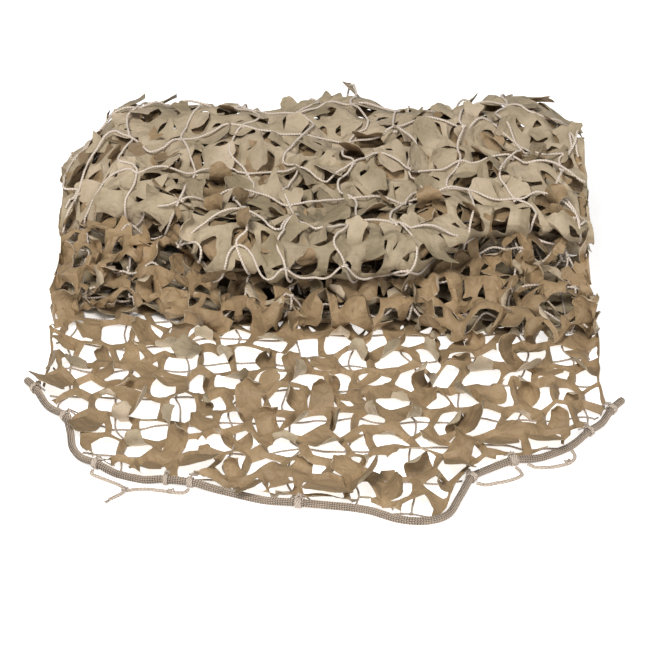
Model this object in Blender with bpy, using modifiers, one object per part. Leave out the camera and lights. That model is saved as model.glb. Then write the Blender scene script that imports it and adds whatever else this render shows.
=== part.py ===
"""Camouflage netting, laid out flat at its roped front edge and heaped in folds behind.

Metres, +Z up, +X across the netting, +Y from the roped edge towards the heap. The origin is on the
floor, under the middle of the whole object.

The cloth and its net are modelled flat, in pattern space: x counts the columns of leaf cuts, y counts
the rows of cuts along the cloth from the roped edge, and z is a height in metres off the cloth,
positive on its tan face. fold() then carries every pattern point to its place on the folded netting.
"""

import math
import random
from typing import NamedTuple

import bmesh
import bpy
import numpy as np
from mathutils import Vector

MM = 0.001

# Driving dimensions.
CUT_PITCH = 48 * MM  # from one leaf cut to the next
COLUMNS = 12  # leaf cuts across the cloth
CLOTH_THICKNESS = 1.5 * MM
TWINE = 2.4 * MM  # the net's twine, and the ties'
NET_STEP = 2  # leaf cuts between one strand of the net and the next
FLAT_NET_GAP = 0.4 * MM  # between the cloth and its net where they lie on the floor
FOLD_NET_GAP = 1.2 * MM  # the same inside the folds
OPEN_NET_GAP = 1.6 * MM  # the same over the ruffles and the top of the heap
ROPE_DIAMETER = 8 * MM
FIT = 0.3 * MM  # between pieces that touch
EDGE_SLACK = 0.9 * MM  # more, where the cloth's edge follows the ties
TIE_SIDES = 8
HOLE_SIZE = 0.37  # a hole's half width, as a share of its cell
LEAF_SHARE = 0.64  # how many of the holes in front keep a leaf
LEAF_SEED = 7

# What follows from them.
WIDTH = COLUMNS * CUT_PITCH
NET_DEPTH = CLOTH_THICKNESS / 2 + TWINE / 2
APRON_HEIGHT = TWINE + FLAT_NET_GAP + CLOTH_THICKNESS / 2
BASE_HEIGHT = CLOTH_THICKNESS / 2
TIE_BORE = (ROPE_DIAMETER / 2 + FIT) / math.cos(math.pi / TIE_SIDES)
TIE_RADIUS = TIE_BORE + TWINE


class Station(NamedTuple):
    """A line across the cloth: its place at mid width, and how far off that it lies to each side."""

    name: str
    rows: int  # rows of the pattern between the station before and this one
    y: float
    z: float
    left: tuple = (0.0, 0.0)
    right: tuple = (0.0, 0.0)


# The folded cloth from its roped edge to its tucked-in end, in millimetres.
SECTION = (
    # First run, tan face up: the apron on the floor, its ruffles, and the base under the heap.
    Station("front_edge", 0, -6, APRON_HEIGHT / MM),
    Station("apron_flat", 7, 330, APRON_HEIGHT / MM, left=(39, 0), right=(-26, 0)),
    Station("apron_back", 1, 378, APRON_HEIGHT / MM + 0.4, left=(45, 0), right=(-30, 0)),
    Station("ruffle_1_top", 1, 404, 24, left=(45, 2), right=(-26, 2)),
    Station("ruffle_1_foot", 1, 426, 10, left=(44, 6), right=(-20, 4)),
    Station("ruffle_2_top", 1, 450, 31, left=(42, 12), right=(-8, 10)),
    Station("ruffle_2_foot", 1, 477, 16, left=(36, 14), right=(-2, 8)),
    Station("hump", 1, 508, 33, left=(26, 10), right=(4, 8)),
    Station("hump_back", 1, 546, 18, left=(14, 2)),
    Station("hump_toe", 1, 572, 4.5, left=(6, 0)),
    Station("base_front", 1, 604, BASE_HEIGHT / MM),
    Station("base_back", 2, 700, BASE_HEIGHT / MM),
    Station("base_turn_low", 1, 730, 4.8),
    Station("base_turn_a", 1, 742, 8.5),
    Station("base_turn_b", 1, 742, 14.5),
    Station("base_turn_high", 1, 730, 18),
    # Second run, reverse side up.
    Station("second_front", 2, 616, 16),
    Station("second_turn_a", 1, 602, 19),
    Station("second_turn_b", 1, 602, 27),
    # Third run, tan face up.
    Station("third_front", 1, 616, 30),
    Station("third_back", 2, 706, 31),
    Station("third_turn_low", 1, 730, 34),
    Station("third_turn_a", 1, 742, 40),
    Station("third_turn_b", 1, 742, 48),
    Station("third_turn_high", 1, 730, 54),
    # Fourth run, reverse side up.
    Station("fourth_back", 1, 700, 58),
    Station("fourth_middle", 1, 600, 63, right=(30, 9)),
    Station("fourth_valley", 1, 505, 64, left=(84, 5), right=(96, 14)),
    Station("fourth_front", 1, 464, 71, left=(112, 0), right=(94, 0)),
    Station("fourth_turn_a", 1, 448, 74, left=(112, 0), right=(92, 0)),
    Station("fourth_turn_b", 1, 448, 82, left=(112, 0), right=(92, 0)),
    # Fifth run, tan face up.
    Station("fifth_front", 1, 464, 85, left=(112, 0), right=(94, 0)),
    Station("fifth_valley", 1, 505, 75, left=(84, 14), right=(96, 14)),
    Station("fifth_middle", 1, 600, 93, left=(0, 2), right=(30, 6)),
    Station("fifth_ridge", 1, 655, 103, right=(10, 4)),
    Station("fifth_back", 1, 706, 94),
    Station("fifth_turn_a", 1, 724, 98.5),
    Station("fifth_turn_b", 1, 724, 107),
    # Sixth run, reverse side up: the top of the heap, down over the front roll.
    Station("top_back", 1, 706, 111),
    Station("ridge", 1, 655, 121, right=(10, 4)),
    Station("ridge_front", 1, 604, 113, left=(14, 0), right=(30, 7)),
    Station("valley_back", 1, 552, 98, left=(46, 8), right=(60, 10)),
    Station("valley", 1, 505, 86, left=(76, 16), right=(92, 20)),
    Station("crest", 1, 462, 97, left=(94, -4), right=(84, 4)),
    Station("brow", 1, 424, 88, left=(118, -12), right=(84, 4)),
    Station("roll_front", 1, 402, 73, left=(134, -6), right=(84, 6)),
    Station("roll_low", 1, 406, 61, left=(132, 0), right=(84, 8)),
    Station("roll_under", 1, 422, 54, left=(124, 4), right=(84, 8)),
    # Seventh run, tan face up, tucked into the roll.
    Station("tuck", 1, 466, 54, left=(112, 2), right=(84, 6)),
    Station("tuck_end", 1, 508, 53, left=(96, 2), right=(80, 4)),
)
LAST_ROW = sum(station.rows for station in SECTION)

# How the folds change across the width: the x where a change begins, and where it is complete.
TO_LEFT = (-105 * MM, -190 * MM)
TO_RIGHT = (75 * MM, 185 * MM)
LEFT_FALL = (-205 * MM, -WIDTH / 2)
RIGHT_FALL = (225 * MM, WIDTH / 2)
LEFT_SINK, LEFT_DRAW = 0.46, 0.5  # the share of height and of depth that the heap loses there
RIGHT_SINK, RIGHT_DRAW = 0.16, 0.12
HEAP_MIDDLE = 610 * MM  # the heap's ends draw in towards this y
DRAW_ZONE = (500 * MM, 560 * MM)
LUMP = 0.08  # the heap's lumps, as a share of its height
LUMP_LENGTH, LUMP_DEPTH = 210 * MM, 170 * MM
DRIFT = 7 * MM  # how far the folds wander from a straight line
RUMPLE = 4 * MM  # the small unevenness of the ruffles and of the heap's top

# The three strands that carry the net through the folds, and how the base rises over them.
THROUGH_STRANDS = (2, 6, 10)
STRAND_RISE = APRON_HEIGHT - BASE_HEIGHT

# The rope's route on the floor, seen from above, in millimetres. A True is a tie.
ROPE_ROUTE = (
    (-301, 282, False),
    (-291, 260, True),
    (-276, 228, False),
    (-257, 202, True),
    (-250, 170, False),
    (-247, 146, False),
    (-238, 126, False),
    (-221, 108, True),
    (-200, 93, False),
    (-175, 82, False),
    (-152, 77, True),
    (-128, 72, True),
    (-100, 62, False),
    (-60, 44, False),
    (-23, 33, True),
    (12, 32, False),
    (44, 24, False),
    (72, 8, False),
    (98, 4, False),
    (120, 16, False),
    (132, 48, False),
    (145, 81, True),
    (163, 103, False),
    (187, 114, True),
    (215, 125, False),
    (243, 145, False),
    (265, 172, True),
    (279, 194, False),
    (290, 216, True),
    (302, 240, False),
)
ROPE_SPACING = 20 * MM  # between points of the rope's curve

# The ties' slack and free ends on the floor, in millimetres.
TAILS = {
    "tie_end": ((-225, 103.5), (-226, 97), (-217, 89), (-204, 80), (-194, 71), (-192, 62), (-206, 47)),
    "tie_slack_left": ((-189.8, 64), (-176, 67), (-160, 65), (-146, 61), (-134, 60), (-129.7, 66.3)),
    "tie_slack_right": ((150.1, 78.1), (158, 75), (170, 79), (183, 84), (195, 95), (189.3, 108.6)),
    "tie_loop": ((245.9, 142), (248.5, 132), (246, 122), (237, 114), (222, 109), (208, 109), (201.5, 115)),
}


def smoothstep(x, begin, end):
    share = np.clip((x - begin) / (end - begin), 0.0, 1.0)
    return share * share * (3 - 2 * share)


def row_of(name):
    """The pattern row that a station lies on."""
    row = 0
    for station in SECTION:
        row += station.rows
        if station.name == name:
            return row
    raise KeyError(name)


def section_at(x):
    """The (y, z) of every station at one x, in metres."""
    middle = np.array([(station.y, station.z) for station in SECTION])
    to_left = smoothstep(x, *TO_LEFT) * np.array([station.left for station in SECTION])
    to_right = smoothstep(x, *TO_RIGHT) * np.array([station.right for station in SECTION])
    return (middle + to_left + to_right) * MM


def settle(x, y, z):
    """Lets the heap sink and draw in at its two ends, and gives its folds their lumps and wander."""
    left, right = smoothstep(x, *LEFT_FALL), smoothstep(x, *RIGHT_FALL)
    draw = (LEFT_DRAW * left + RIGHT_DRAW * right) * smoothstep(y, *DRAW_ZONE)
    y = y + (HEAP_MIDDLE - y) * draw
    raised = np.maximum(z - APRON_HEIGHT, 0.0)
    lumps = np.sin(math.tau * x / LUMP_LENGTH + 1.1) * np.sin(math.tau * y / LUMP_DEPTH + 0.4)
    z = z - raised + raised * (1 - LEFT_SINK * left) * (1 - RIGHT_SINK * right) * (1 + LUMP * lumps)
    lift = np.clip(raised / (100 * MM), 0.0, 1.0)
    y = y + DRIFT * lift * np.sin(math.tau * x / (0.7 * LUMP_LENGTH))
    return y, z


def lattice():
    """Where each crossing of the pattern's columns and rows lies on the folded cloth."""
    rows = np.arange(LAST_ROW + 1)
    ends = np.cumsum([s.rows for s in SECTION])
    front, back = row_of("base_front"), row_of("base_back")
    on_base = np.clip(np.minimum(rows - front, back - rows) + 1, 0, 1)
    ruffled = (rows > row_of("apron_back")) & (rows <= row_of("hump"))
    on_top = (rows > row_of("top_back")) & (rows < row_of("crest"))
    places = np.zeros((COLUMNS + 1, LAST_ROW + 1, 3))
    for column in range(COLUMNS + 1):
        x = (column / COLUMNS - 0.5) * WIDTH
        section = section_at(x)
        y, z = np.interp(rows, ends, section[:, 0]), np.interp(rows, ends, section[:, 1])
        y, z = settle(x, y, z)
        z = z + STRAND_RISE * on_base * (column in THROUGH_STRANDS)
        z = z + RUMPLE * (ruffled + 0.6 * on_top) * np.sin(2.1 * column + 1.7 * rows)
        y = y + RUMPLE * ruffled * np.sin(1.3 * column + 2.6 * rows + 1)
        places[column] = np.stack([np.full(len(rows), x), y, z], axis=1)
    return places


def unit(vectors):
    return vectors / np.linalg.norm(vectors, axis=-1, keepdims=True)


PLACES = lattice()
ACROSS = unit(np.gradient(PLACES, axis=0))
NORMALS = unit(np.cross(ACROSS, np.gradient(PLACES, axis=1)))


def fold(points):
    """Pattern points (column, row, height) carried to their places on the folded netting."""
    column, row, height = np.asarray(points, float).T
    left = np.clip(np.floor(column).astype(int), 0, COLUMNS - 1)
    near = np.clip(np.floor(row).astype(int), 0, LAST_ROW - 1)
    across, along = (column - left)[:, None], (row - near)[:, None]

    def between(grid):
        front = grid[left, near] * (1 - across) + grid[left + 1, near] * across
        behind = grid[left, near + 1] * (1 - across) + grid[left + 1, near + 1] * across
        return front * (1 - along) + behind * along

    return between(PLACES) + height[:, None] * unit(between(NORMALS))


def fold_strands(points):
    """Net points carried to the folded netting, each square on the crossing of the pattern beside it."""
    places = fold(points)
    for i, (column, row, height) in enumerate(points):
        at = min(max(round(column), 0), COLUMNS), min(max(round(row), 0), LAST_ROW)
        aside, ahead = (column - at[0]) * CUT_PITCH, (row - at[1]) * CUT_PITCH
        if max(abs(aside), abs(ahead)) < TWINE:
            normal, across = NORMALS[at], ACROSS[at]
            places[i] = PLACES[at] + across * aside + np.cross(normal, across) * ahead + normal * height
    return places


def fold_mesh(bm):
    """Carries a flat bmesh from pattern space to the folded netting."""
    for vert, place in zip(bm.verts, fold([vert.co for vert in bm.verts])):
        vert.co = place


def pattern_point(x, y):
    """The pattern's column and row at a point of the apron."""
    front, back = section_at(x)[:2, 0]
    return Vector(((x / WIDTH + 0.5) * COLUMNS, (y - front) / (back - front) * SECTION[1].rows, 0))


def material(name, colour, roughness):
    made = bpy.data.materials.new(name)
    made.use_nodes = True
    shader = made.node_tree.nodes["Principled BSDF"]
    shader.inputs["Base Color"].default_value = (*colour, 1)
    shader.inputs["Roughness"].default_value = roughness
    shader.inputs["Metallic"].default_value = 0
    return made


def add_object(name, data, finish, group):
    made = bpy.data.objects.new(name, data)
    made.data.materials.append(finish)
    group.objects.link(made)
    return made


def mesh_from(bm, name):
    data = bpy.data.meshes.new(name)
    bm.to_mesh(data)
    bm.free()
    return data


def thicken(piece, thickness):
    shell = piece.modifiers.new("thickness", "SOLIDIFY")
    shell.thickness = thickness
    shell.offset = 0


def flat_pattern(step_across, step_along):
    """A flat grid over the whole pattern, a face for each step of columns and rows."""
    bm = bmesh.new()
    columns, rows = round(COLUMNS / step_across), LAST_ROW // step_along
    bmesh.ops.create_grid(bm, x_segments=columns, y_segments=rows, size=0.5)
    for vert in bm.verts:
        vert.co.x = round((vert.co.x + 0.5) * columns) * step_across
        vert.co.y = round((vert.co.y + 0.5) * rows) * step_along
    return bm


def is_open_row(row):
    """Whether the leaf cuts of a row show, in the apron, its ruffles or the top of the heap."""
    return row < row_of("hump") or row_of("top_back") <= row < row_of("brow")


def staggered_cells(chance):
    """The pattern's cells: staggered from row to row where the cuts show, and plain squares elsewhere."""
    bm = flat_pattern(0.5, 1)
    spare = []
    for edge in bm.edges:
        here, there = edge.verts
        half, row = round(here.co.x * 2), int(min(here.co.y, there.co.y))
        at_side = half in (0, 2 * COLUMNS)
        kept = (half - row) % 2 == 0 if is_open_row(row) else half % 2 == 0
        if here.co.x == there.co.x and not at_side and not kept:
            spare.append(edge)
    bmesh.ops.dissolve_edges(bm, edges=spare, use_verts=True)
    for vert in bm.verts:
        row = vert.co.y
        if 0 < row < row_of("apron_back") and 0 < vert.co.x < COLUMNS:
            goes_back = any(edge.other_vert(vert).co.y > row + 0.5 for edge in vert.link_edges)
            vert.co.y += (0.12 if goes_back else -0.12) + chance.uniform(-0.07, 0.07)
            vert.co.x += chance.uniform(-0.1, 0.1)
    return bm


def cut_leaves(bm, chance):
    """Cuts a rounded hole in each open cell, and bends up part of what was cut as a leaf on its rim."""
    cells = [face for face in bm.faces if is_open_row(face.calc_center_bounds().y)]
    top = row_of("top_back")
    cells = [face for face in cells if face.calc_center_bounds().y < top or chance.random() < 0.7]
    bmesh.ops.inset_individual(bm, faces=cells, thickness=0.1)
    for cell in cells:
        shape_hole(cell, chance)
    hinges = [hinge_of(cell, chance) for cell in cells]
    bmesh.ops.delete(bm, geom=cells, context="FACES_ONLY")
    for hinge in hinges:
        if hinge:
            raise_leaf(bm, *hinge, chance)


def shape_hole(cell, chance):
    """Rounds a cell's hole into an uneven oval, and lifts its rim a little on the tan side."""
    centre = cell.calc_center_median()
    columns = [vert.co.x for vert in cell.verts]
    narrow = 0.5 if max(columns) - min(columns) < 0.5 else 1.0
    turn, stretch = chance.uniform(0, math.tau), chance.uniform(0.03, 0.16)
    rise = 4.5 * MM if centre.y < row_of("apron_back") else 1.5 * MM
    for vert in cell.verts:
        away = vert.co - centre
        angle = math.atan2(away.y, away.x / narrow)
        radius = HOLE_SIZE * (1 + stretch * math.cos(2 * angle + turn))
        vert.co = centre + Vector((math.cos(angle) * narrow, math.sin(angle), 0)) * radius
        vert.co.z = chance.uniform(0, rise)


def hinge_of(cell, chance):
    """The rim edge that a leaf stays joined by, with its lift and spread, or nothing for an empty hole."""
    centre = cell.calc_center_median()
    columns = [vert.co.x for vert in cell.verts]
    row, rim = centre.y, chance.choice(list(cell.edges))
    if max(columns) - min(columns) < 0.5 or chance.random() > LEAF_SHARE:
        return None
    if row < row_of("apron_back"):
        return rim, centre, chance.uniform(8, 15) * MM, 1.35
    if row < row_of("ruffle_2_foot"):
        return rim, centre, chance.uniform(4, 7) * MM, 1.0
    over_strand = abs(centre.x / NET_STEP - round(centre.x / NET_STEP)) < 0.2
    if row < row_of("hump") or over_strand:
        return None
    return rim, centre, -chance.uniform(5, 9) * MM, 1.0


def raise_leaf(bm, rim_edge, centre, height, spread, chance):
    """Draws a leaf out of a hole's rim in two steps, leaning in over the hole and lifting."""
    lean = chance.uniform(0.75, 1.1)
    for reach, lift, widen in ((0.3, 0.6, spread), (0.3, 0.4, 0.5)):
        middle = (rim_edge.verts[0].co + rim_edge.verts[1].co) / 2
        inwards = Vector((centre.x - middle.x, centre.y - middle.y, 0)).normalized() * reach * lean
        made = bmesh.ops.extrude_edge_only(bm, edges=[rim_edge])["geom"]
        rim_edge = next(item for item in made if isinstance(item, bmesh.types.BMEdge))
        for vert in rim_edge.verts:
            side = vert.co - middle
            vert.co = middle + inwards + Vector((side.x, side.y, 0)) * widen
            vert.co.z = middle.z + height * lift
        centre = centre + inwards * 2


def rope_route():
    """The rope's route in metres, straight through each tie. It lies on the floor between them."""
    flat = [Vector((x * MM, y * MM, ROPE_DIAMETER / 2)) for x, y, _ in ROPE_ROUTE]
    route = []
    for i, (here, (_, _, tied)) in enumerate(zip(flat, ROPE_ROUTE)):
        if tied:
            centre = Vector((here.x, here.y, TIE_RADIUS))
            along = (flat[i + 1] - flat[i - 1]).normalized() * 2 * TWINE
            route += [centre - along, centre, centre + along]
        else:
            route.append(here)
    return route


def cloth_border():
    """The cloth's front outline in pattern space: the rope's line, drawn in clear of the ties."""
    line = smooth_line(rope_route(), ROPE_SPACING)
    border = []
    for before, here, after in zip(line, line[1:], line[2:]):
        ahead = after - before
        inwards = Vector((-ahead.y, ahead.x, 0)).normalized()
        border.append(pattern_point(*(here + inwards * (TIE_RADIUS + FIT + EDGE_SLACK)).xy))
    return border


def is_inside(point, border):
    """Whether a point of the pattern lies behind the border line."""
    outline = [Vector((-1, border[0].y, 0)), *border, Vector((COLUMNS + 1, border[-1].y, 0))]
    outline += [Vector((COLUMNS + 1, LAST_ROW + 1, 0)), Vector((-1, LAST_ROW + 1, 0))]
    inside = False
    for a, b in zip(outline, outline[1:] + outline[:1]):
        if (a.y > point.y) != (b.y > point.y) and point.x < a.x + (point.y - a.y) / (b.y - a.y) * (b.x - a.x):
            inside = not inside
    return inside


def trim_to_border(bm, weld):
    """Cuts a flat pattern along the border line, and drops what lies outside it."""
    border = cloth_border()
    for a, b in zip(border, border[1:]):
        along = (b - a).normalized()
        reach = (b - a).length + 0.6
        near = []
        for face in bm.faces:
            from_a = face.calc_center_median() - a
            if -0.6 < from_a.dot(along) < reach and abs(from_a.cross(along).z) < 1.1:
                near.append(face)
        edges = {edge for face in near for edge in face.edges}
        verts = {vert for face in near for vert in face.verts}
        aside = Vector((-along.y, along.x, 0))
        bmesh.ops.bisect_plane(bm, geom=[*near, *edges, *verts], dist=weld, plane_co=a, plane_no=aside)
    outside = [face for face in bm.faces if not is_inside(face.calc_center_median(), border)]
    bmesh.ops.delete(bm, geom=outside, context="FACES")
    bmesh.ops.remove_doubles(bm, verts=bm.verts, dist=weld)
    bmesh.ops.dissolve_degenerate(bm, dist=weld / 2, edges=bm.edges)
    keep_one_piece(bm)


def joined_faces(faces, edges):
    """The faces grouped into those that reach each other across the edges."""
    groups, left = [], set(faces)
    while left:
        group, todo = set(), [left.pop()]
        while todo:
            face = todo.pop()
            group.add(face)
            beside = {other for edge in face.edges if edge in edges for other in edge.link_faces}
            todo += beside & left
            left -= beside
        groups.append(group)
    return sorted(groups, key=lambda group: (len(group), sum(face.calc_area() for face in group)))


def keep_one_piece(bm):
    """Drops what hangs on by a corner alone, and then all but the largest piece."""
    pinched = True
    while pinched:
        pinched = set()
        for vert in bm.verts:
            groups = joined_faces(vert.link_faces, set(vert.link_edges))
            pinched |= {face for group in groups[:-1] for face in group}
        bmesh.ops.delete(bm, geom=list(pinched), context="FACES")
    small = [face for group in joined_faces(bm.faces, set(bm.edges))[:-1] for face in group]
    bmesh.ops.delete(bm, geom=small, context="FACES")


def make_garnish_cloth(group):
    """The die-cut cloth, one piece from the roped edge through all its folds."""
    chance = random.Random(LEAF_SEED)
    bm = staggered_cells(chance)
    cut_leaves(bm, chance)
    trim_to_border(bm, 0.015)
    fold_mesh(bm)
    finish = material("tan_cloth", (0.36, 0.24, 0.125), 0.7)
    thicken(add_object("garnish_cloth", mesh_from(bm, "garnish_cloth"), finish, group), CLOTH_THICKNESS)


def open_net():
    """The net's flat meshes, each a face. Inside the folds only three lengthwise strands are left."""
    bm = flat_pattern(NET_STEP, NET_STEP)
    first, last = row_of("hump") + row_of("hump") % 2, row_of("top_back") - row_of("top_back") % 2
    inner = [face for face in bm.faces if first < face.calc_center_median().y < last]
    spare = set()
    for face in inner:
        for edge in face.edges:
            middle = (edge.verts[0].co + edge.verts[1].co) / 2
            crosswise = edge.verts[0].co.y == edge.verts[1].co.y and first < middle.y < last
            lengthwise = edge.verts[0].co.x == edge.verts[1].co.x and middle.x not in THROUGH_STRANDS
            if crosswise or (lengthwise and THROUGH_STRANDS[0] < middle.x < THROUGH_STRANDS[-1]):
                spare.add(edge)
    beside = [f for f in inner if not THROUGH_STRANDS[0] < f.calc_center_median().x < THROUGH_STRANDS[-1]]
    bmesh.ops.delete(bm, geom=beside, context="FACES")
    bmesh.ops.dissolve_edges(bm, edges=[edge for edge in spare if edge.is_valid], use_verts=False)
    past_end = [face for face in bm.faces if face.calc_center_bounds().y > row_of("roll_under")]
    bmesh.ops.delete(bm, geom=past_end, context="FACES")
    bent = [edge for edge in bm.edges if max(vert.co.y for vert in edge.verts) > row_of("apron_back")]
    bmesh.ops.bisect_edges(bm, edges=bent, cuts=1)
    return bm


def make_net(group):
    """The knotted net that backs the cloth, its strands along the pattern's lines."""
    bm = open_net()
    meshes = list(bm.faces)
    bmesh.ops.inset_individual(bm, faces=meshes, thickness=TWINE / 2 / CUT_PITCH, use_even_offset=True)
    bmesh.ops.delete(bm, geom=meshes, context="FACES_ONLY")
    trim_to_border(bm, 0.002)
    raised = fold([vert.co for vert in bm.verts])[:, 2] - APRON_HEIGHT
    for vert, share in zip(bm.verts, np.clip(raised / (10 * MM), 0, 1)):
        inside = row_of("hump_back") < vert.co.y < row_of("top_back")
        gap = FOLD_NET_GAP if inside else OPEN_NET_GAP
        vert.co.z = -NET_DEPTH - FLAT_NET_GAP - (gap - FLAT_NET_GAP) * share
    for vert, place in zip(bm.verts, fold_strands([vert.co.copy() for vert in bm.verts])):
        vert.co = place
    finish = material("net_twine", (0.62, 0.52, 0.43), 0.85)
    thicken(add_object("net", mesh_from(bm, "net"), finish, group), TWINE)


def smooth_line(route, spacing):
    """A smooth curve through the route's points, read off about every spacing."""
    line = []
    for i in range(len(route) - 1):
        before, here, there, after = (route[min(max(i + k, 0), len(route) - 1)] for k in (-1, 0, 1, 2))
        pieces = max(1, round((there - here).length / spacing))
        for k in range(pieces):
            t = k / pieces
            bend = 2 * before - 5 * here + 4 * there - after
            twist = 3 * here - before - 3 * there + after
            line.append((2 * here + (there - before) * t + bend * t**2 + twist * t**3) / 2)
    return line + [route[-1]]


def tube(name, line, diameter, finish, group):
    """A round cord along a line of points."""
    data = bpy.data.curves.new(name, "CURVE")
    data.dimensions = "3D"
    data.bevel_depth = diameter / 2
    data.bevel_resolution = 2
    data.use_fill_caps = True
    spline = data.splines.new("POLY")
    spline.points.add(len(line) - 1)
    for point, place in zip(spline.points, line):
        point.co = (*place, 1)
    return add_object(name, data, finish, group)


def make_tie(name, place, along, finish, group):
    """A tie's turns round the rope, as one closed band."""
    half = 1.5 * TWINE
    bm = bmesh.new()
    corners = ((TIE_RADIUS, half), (TIE_RADIUS, -half), (TIE_BORE, -half), (TIE_BORE, half))
    verts = [bm.verts.new((radius, 0, height)) for radius, height in corners]
    for a, b in zip(verts, verts[1:] + verts[:1]):
        bm.edges.new((a, b))
    made = add_object(name, mesh_from(bm, name), finish, group)
    turn = made.modifiers.new("turns", "SCREW")
    turn.steps = turn.render_steps = TIE_SIDES
    turn.use_merge_vertices = True
    turn.merge_threshold = 0.05 * MM
    made.location = place
    made.rotation_euler = along.to_track_quat("Z", "X").to_euler()


def make_rope_and_ties(group):
    """The braided border rope, which dips to the floor between the ties, and the ties' slack ends."""
    braid = material("braided_rope", (0.30, 0.24, 0.19), 0.8)
    twine = material("tie_twine", (0.66, 0.57, 0.49), 0.85)
    line = smooth_line(rope_route(), ROPE_SPACING)
    for point in line:
        point.z = max(point.z, ROPE_DIAMETER / 2)
    tube("border_rope", line, ROPE_DIAMETER, braid, group)
    flat = [Vector((x * MM, y * MM, TIE_RADIUS)) for x, y, _ in ROPE_ROUTE]
    ties = [i for i, (_, _, tied) in enumerate(ROPE_ROUTE) if tied]
    for count, i in enumerate(ties):
        make_tie(f"tie_{count + 1}", flat[i], flat[i + 1] - flat[i - 1], twine, group)
    for name, points in TAILS.items():
        line = smooth_line([Vector((x * MM, y * MM, TWINE / 2)) for x, y in points], 2.5 * TWINE)
        tube(name, line, TWINE, twine, group)


def centre_on_origin(group):
    """Moves every piece so that the origin is on the floor under the middle of the object."""
    bpy.context.view_layer.update()
    graph = bpy.context.evaluated_depsgraph_get()
    corners = []
    for piece in group.objects:
        if piece.name not in TAILS:
            shown = piece.evaluated_get(graph)
            corners += [shown.matrix_world @ vert.co for vert in shown.to_mesh().vertices]
    low, high = np.min(corners, axis=0), np.max(corners, axis=0)
    for piece in group.objects:
        piece.location -= Vector((*(low + high)[:2] / 2, 0))


def main():
    for old in list(bpy.data.objects):
        bpy.data.objects.remove(old)
    group = bpy.data.collections.new("camouflage_netting")
    bpy.context.scene.collection.children.link(group)
    make_garnish_cloth(group)
    make_net(group)
    make_rope_and_ties(group)
    centre_on_origin(group)


main()
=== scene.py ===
"""The looks of a piece of camouflage netting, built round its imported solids.

Metres, +Z up, +X across the netting, +Y from its roped front edge towards the heap behind. The cloth is
cut flat first: x across it, y along it from the roped edge, and z off it, positive on its tan face.
Folds.carry() then takes it to where it lies.
"""

import math
import random
from typing import NamedTuple

import bmesh
import bpy
import numpy as np
from mathutils import Matrix, Vector, noise
from mathutils.bvhtree import BVHTree


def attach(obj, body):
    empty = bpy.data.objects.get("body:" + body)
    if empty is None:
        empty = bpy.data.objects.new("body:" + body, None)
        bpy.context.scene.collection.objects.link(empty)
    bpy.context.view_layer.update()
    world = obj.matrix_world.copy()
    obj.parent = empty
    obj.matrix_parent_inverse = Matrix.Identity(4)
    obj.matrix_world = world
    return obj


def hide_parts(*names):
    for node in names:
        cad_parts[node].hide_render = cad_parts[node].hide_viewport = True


bl_info = {
    "name": "Camouflage netting",
    "version": (1, 0, 0),
    "blender": (4, 5, 0),
    "location": "View3D > Sidebar > Netting",
    "description": "Makes a heap of leaf-cut camouflage netting with its twine net and border rope",
    "category": "Object",
}

MM = 0.001

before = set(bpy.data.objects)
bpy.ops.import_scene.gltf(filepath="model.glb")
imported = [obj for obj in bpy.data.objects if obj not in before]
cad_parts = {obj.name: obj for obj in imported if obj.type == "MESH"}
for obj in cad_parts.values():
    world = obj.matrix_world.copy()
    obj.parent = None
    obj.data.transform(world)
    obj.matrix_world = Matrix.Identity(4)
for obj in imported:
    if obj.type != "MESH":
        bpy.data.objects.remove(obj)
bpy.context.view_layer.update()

# The origin's place in the measure that the tables below are in.
ORIGIN = Vector((0.5 * MM, 374.3 * MM, 0))


# ---------------------------------------------------------------------------------------------------
# The folds that the cloth lies in.


class Station(NamedTuple):
    """A line across the cloth: its place at mid width, and how far off that it lies to each side."""

    name: str
    y: float
    z: float
    left: tuple = (0.0, 0.0)
    right: tuple = (0.0, 0.0)


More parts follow.
